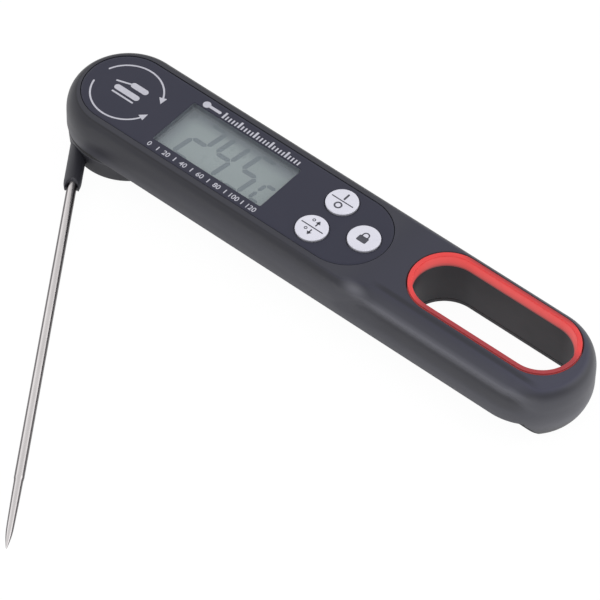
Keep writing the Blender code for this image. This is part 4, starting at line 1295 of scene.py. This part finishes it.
# ---------------------------------------------------------------- stage, light and camera
def floor_material():
    """Near white to the camera, pale grey with a glow to other rays, and clear from below."""
    mat, graph = new_material("pale_floor")
    grey = graph.remap(graph.add("TexNoise", {"Scale": 3.0}), 0.0, 1.0, to_low=0.71, to_high=0.73)
    graph.set_shader({
        "Roughness": 0.9,
        "Specular IOR Level": 0.0,
        "Base Color": graph.add("CombineColor", {0: grey, 1: grey, 2: grey}),
        "Emission Color": (1.0, 1.0, 1.0, 1.0),
        "Emission Strength": 0.45,
    })
    shown = graph.add("BsdfDiffuse", {"Color": (0.07, 0.07, 0.07, 1.0)})
    white = graph.add("Emission", {"Strength": 0.96})
    lit = graph.add("AddShader", {0: shown, 1: white})
    camera_ray = graph.add("LightPath", output="Is Camera Ray")
    by_ray = graph.mix_shader(camera_ray, graph.shader.outputs[0], lit)
    normal = graph.add("NewGeometry", output="Normal")
    from_below = graph.maths("LESS_THAN", graph.part(normal, "Z"), 0.0)
    mixed = graph.mix_shader(from_below, by_ray, graph.add("BsdfTransparent"))
    graph.plug(graph.tree.nodes["Material Output"].inputs["Surface"], mixed)
    return mat


def build_floor():
    rings = [[(x, y, z) for x, y in circle(60, 0, 6000, 96)] for z in (-20.0, -0.02)]
    floor = loft("floor", rings)
    floor.data.materials.append(floor_material())


def add_glow(graph, coord, level, direction, power, strength):
    """Adds a soft bright panel, centred on a direction, to the world's light level."""
    toward = Vector(direction).normalized()
    facing = graph.vector_maths("DOT_PRODUCT", coord, toward, output="Value")
    shaped = graph.maths("POWER", graph.maths("MAXIMUM", facing, 0.0), power)
    return graph.maths("ADD", level, graph.maths("MULTIPLY", shaped, strength))


def build_world():
    """Even light with two soft panels; the camera itself sees plain white of strength 1."""
    world = bpy.data.worlds.new("studio")
    scene.world = world
    world.use_nodes = True
    graph = Graph(world)
    coord = graph.add("TexCoord", output="Generated")
    level = add_glow(graph, coord, 0.68, direction=(-1.0, 0.1, 0.15), power=6.0, strength=0.45)
    level = add_glow(graph, coord, level, direction=(0.75, 0.75, 0.1), power=6.0, strength=1.1)
    camera_ray = graph.add("LightPath", output="Is Camera Ray")
    seen = graph.add("Mix", {0: camera_ray, 2: level, 3: 1.0}, data_type="FLOAT")
    background = graph.tree.nodes["Background"]
    graph.plug(background.inputs["Strength"], seen)
    background.inputs["Color"].default_value = (0.985, 0.99, 1.0, 1.0)


def soft_box(name, location, target, size, power):
    """A rectangular light aimed at a target; places and sizes in metres, power in watts."""
    light = bpy.data.lights.new(name, "AREA")
    light.shape = "RECTANGLE"
    light.size, light.size_y = size
    light.energy = power
    obj = bpy.data.objects.new(name, light)
    scene.collection.objects.link(obj)
    obj.location = location
    obj.rotation_mode = "QUATERNION"
    obj.rotation_quaternion = (Vector(target) - Vector(location)).to_track_quat("-Z", "Y")


def build_camera():
    data = bpy.data.cameras.new("camera")
    camera = bpy.data.objects.new("camera", data)
    scene.collection.objects.link(camera)
    data.sensor_width = 36.0
    data.sensor_fit = "HORIZONTAL"
    data.lens = 287.57
    data.shift_x, data.shift_y = -0.00045, 0.0003
    data.clip_start, data.clip_end = 0.05, 50.0
    right = Vector((0.767227, 0.641054, 0.020319))
    up = Vector((-0.495512, 0.572329, 0.653382))
    back = Vector((0.407224, -0.51136, 0.756756))
    placed = Matrix((right, up, back)).transposed().to_4x4()
    placed.translation = Vector((0.530214, -0.596495, 0.864201))
    camera.matrix_world = placed
    scene.camera = camera


build_floor()
build_world()
soft_box(
    "key_light", location=(-0.35, -0.55, 0.9), target=(0.05, 0.0, 0.0), size=(0.7, 0.5), power=0.4
)
soft_box(
    "front_light", location=(0.12, -0.6, 0.075), target=(0.06, 0.0, 0.01), size=(0.8, 0.13),
    power=0.7,
)
soft_box(
    "rim_light", location=(0.75, 0.35, 0.5), target=(0.08, 0.0, 0.0), size=(0.4, 0.6), power=0.6
)
build_camera()
scene.view_settings.view_transform = "Standard"
scene.view_settings.look = "None"

bpy.context.view_layer.update()
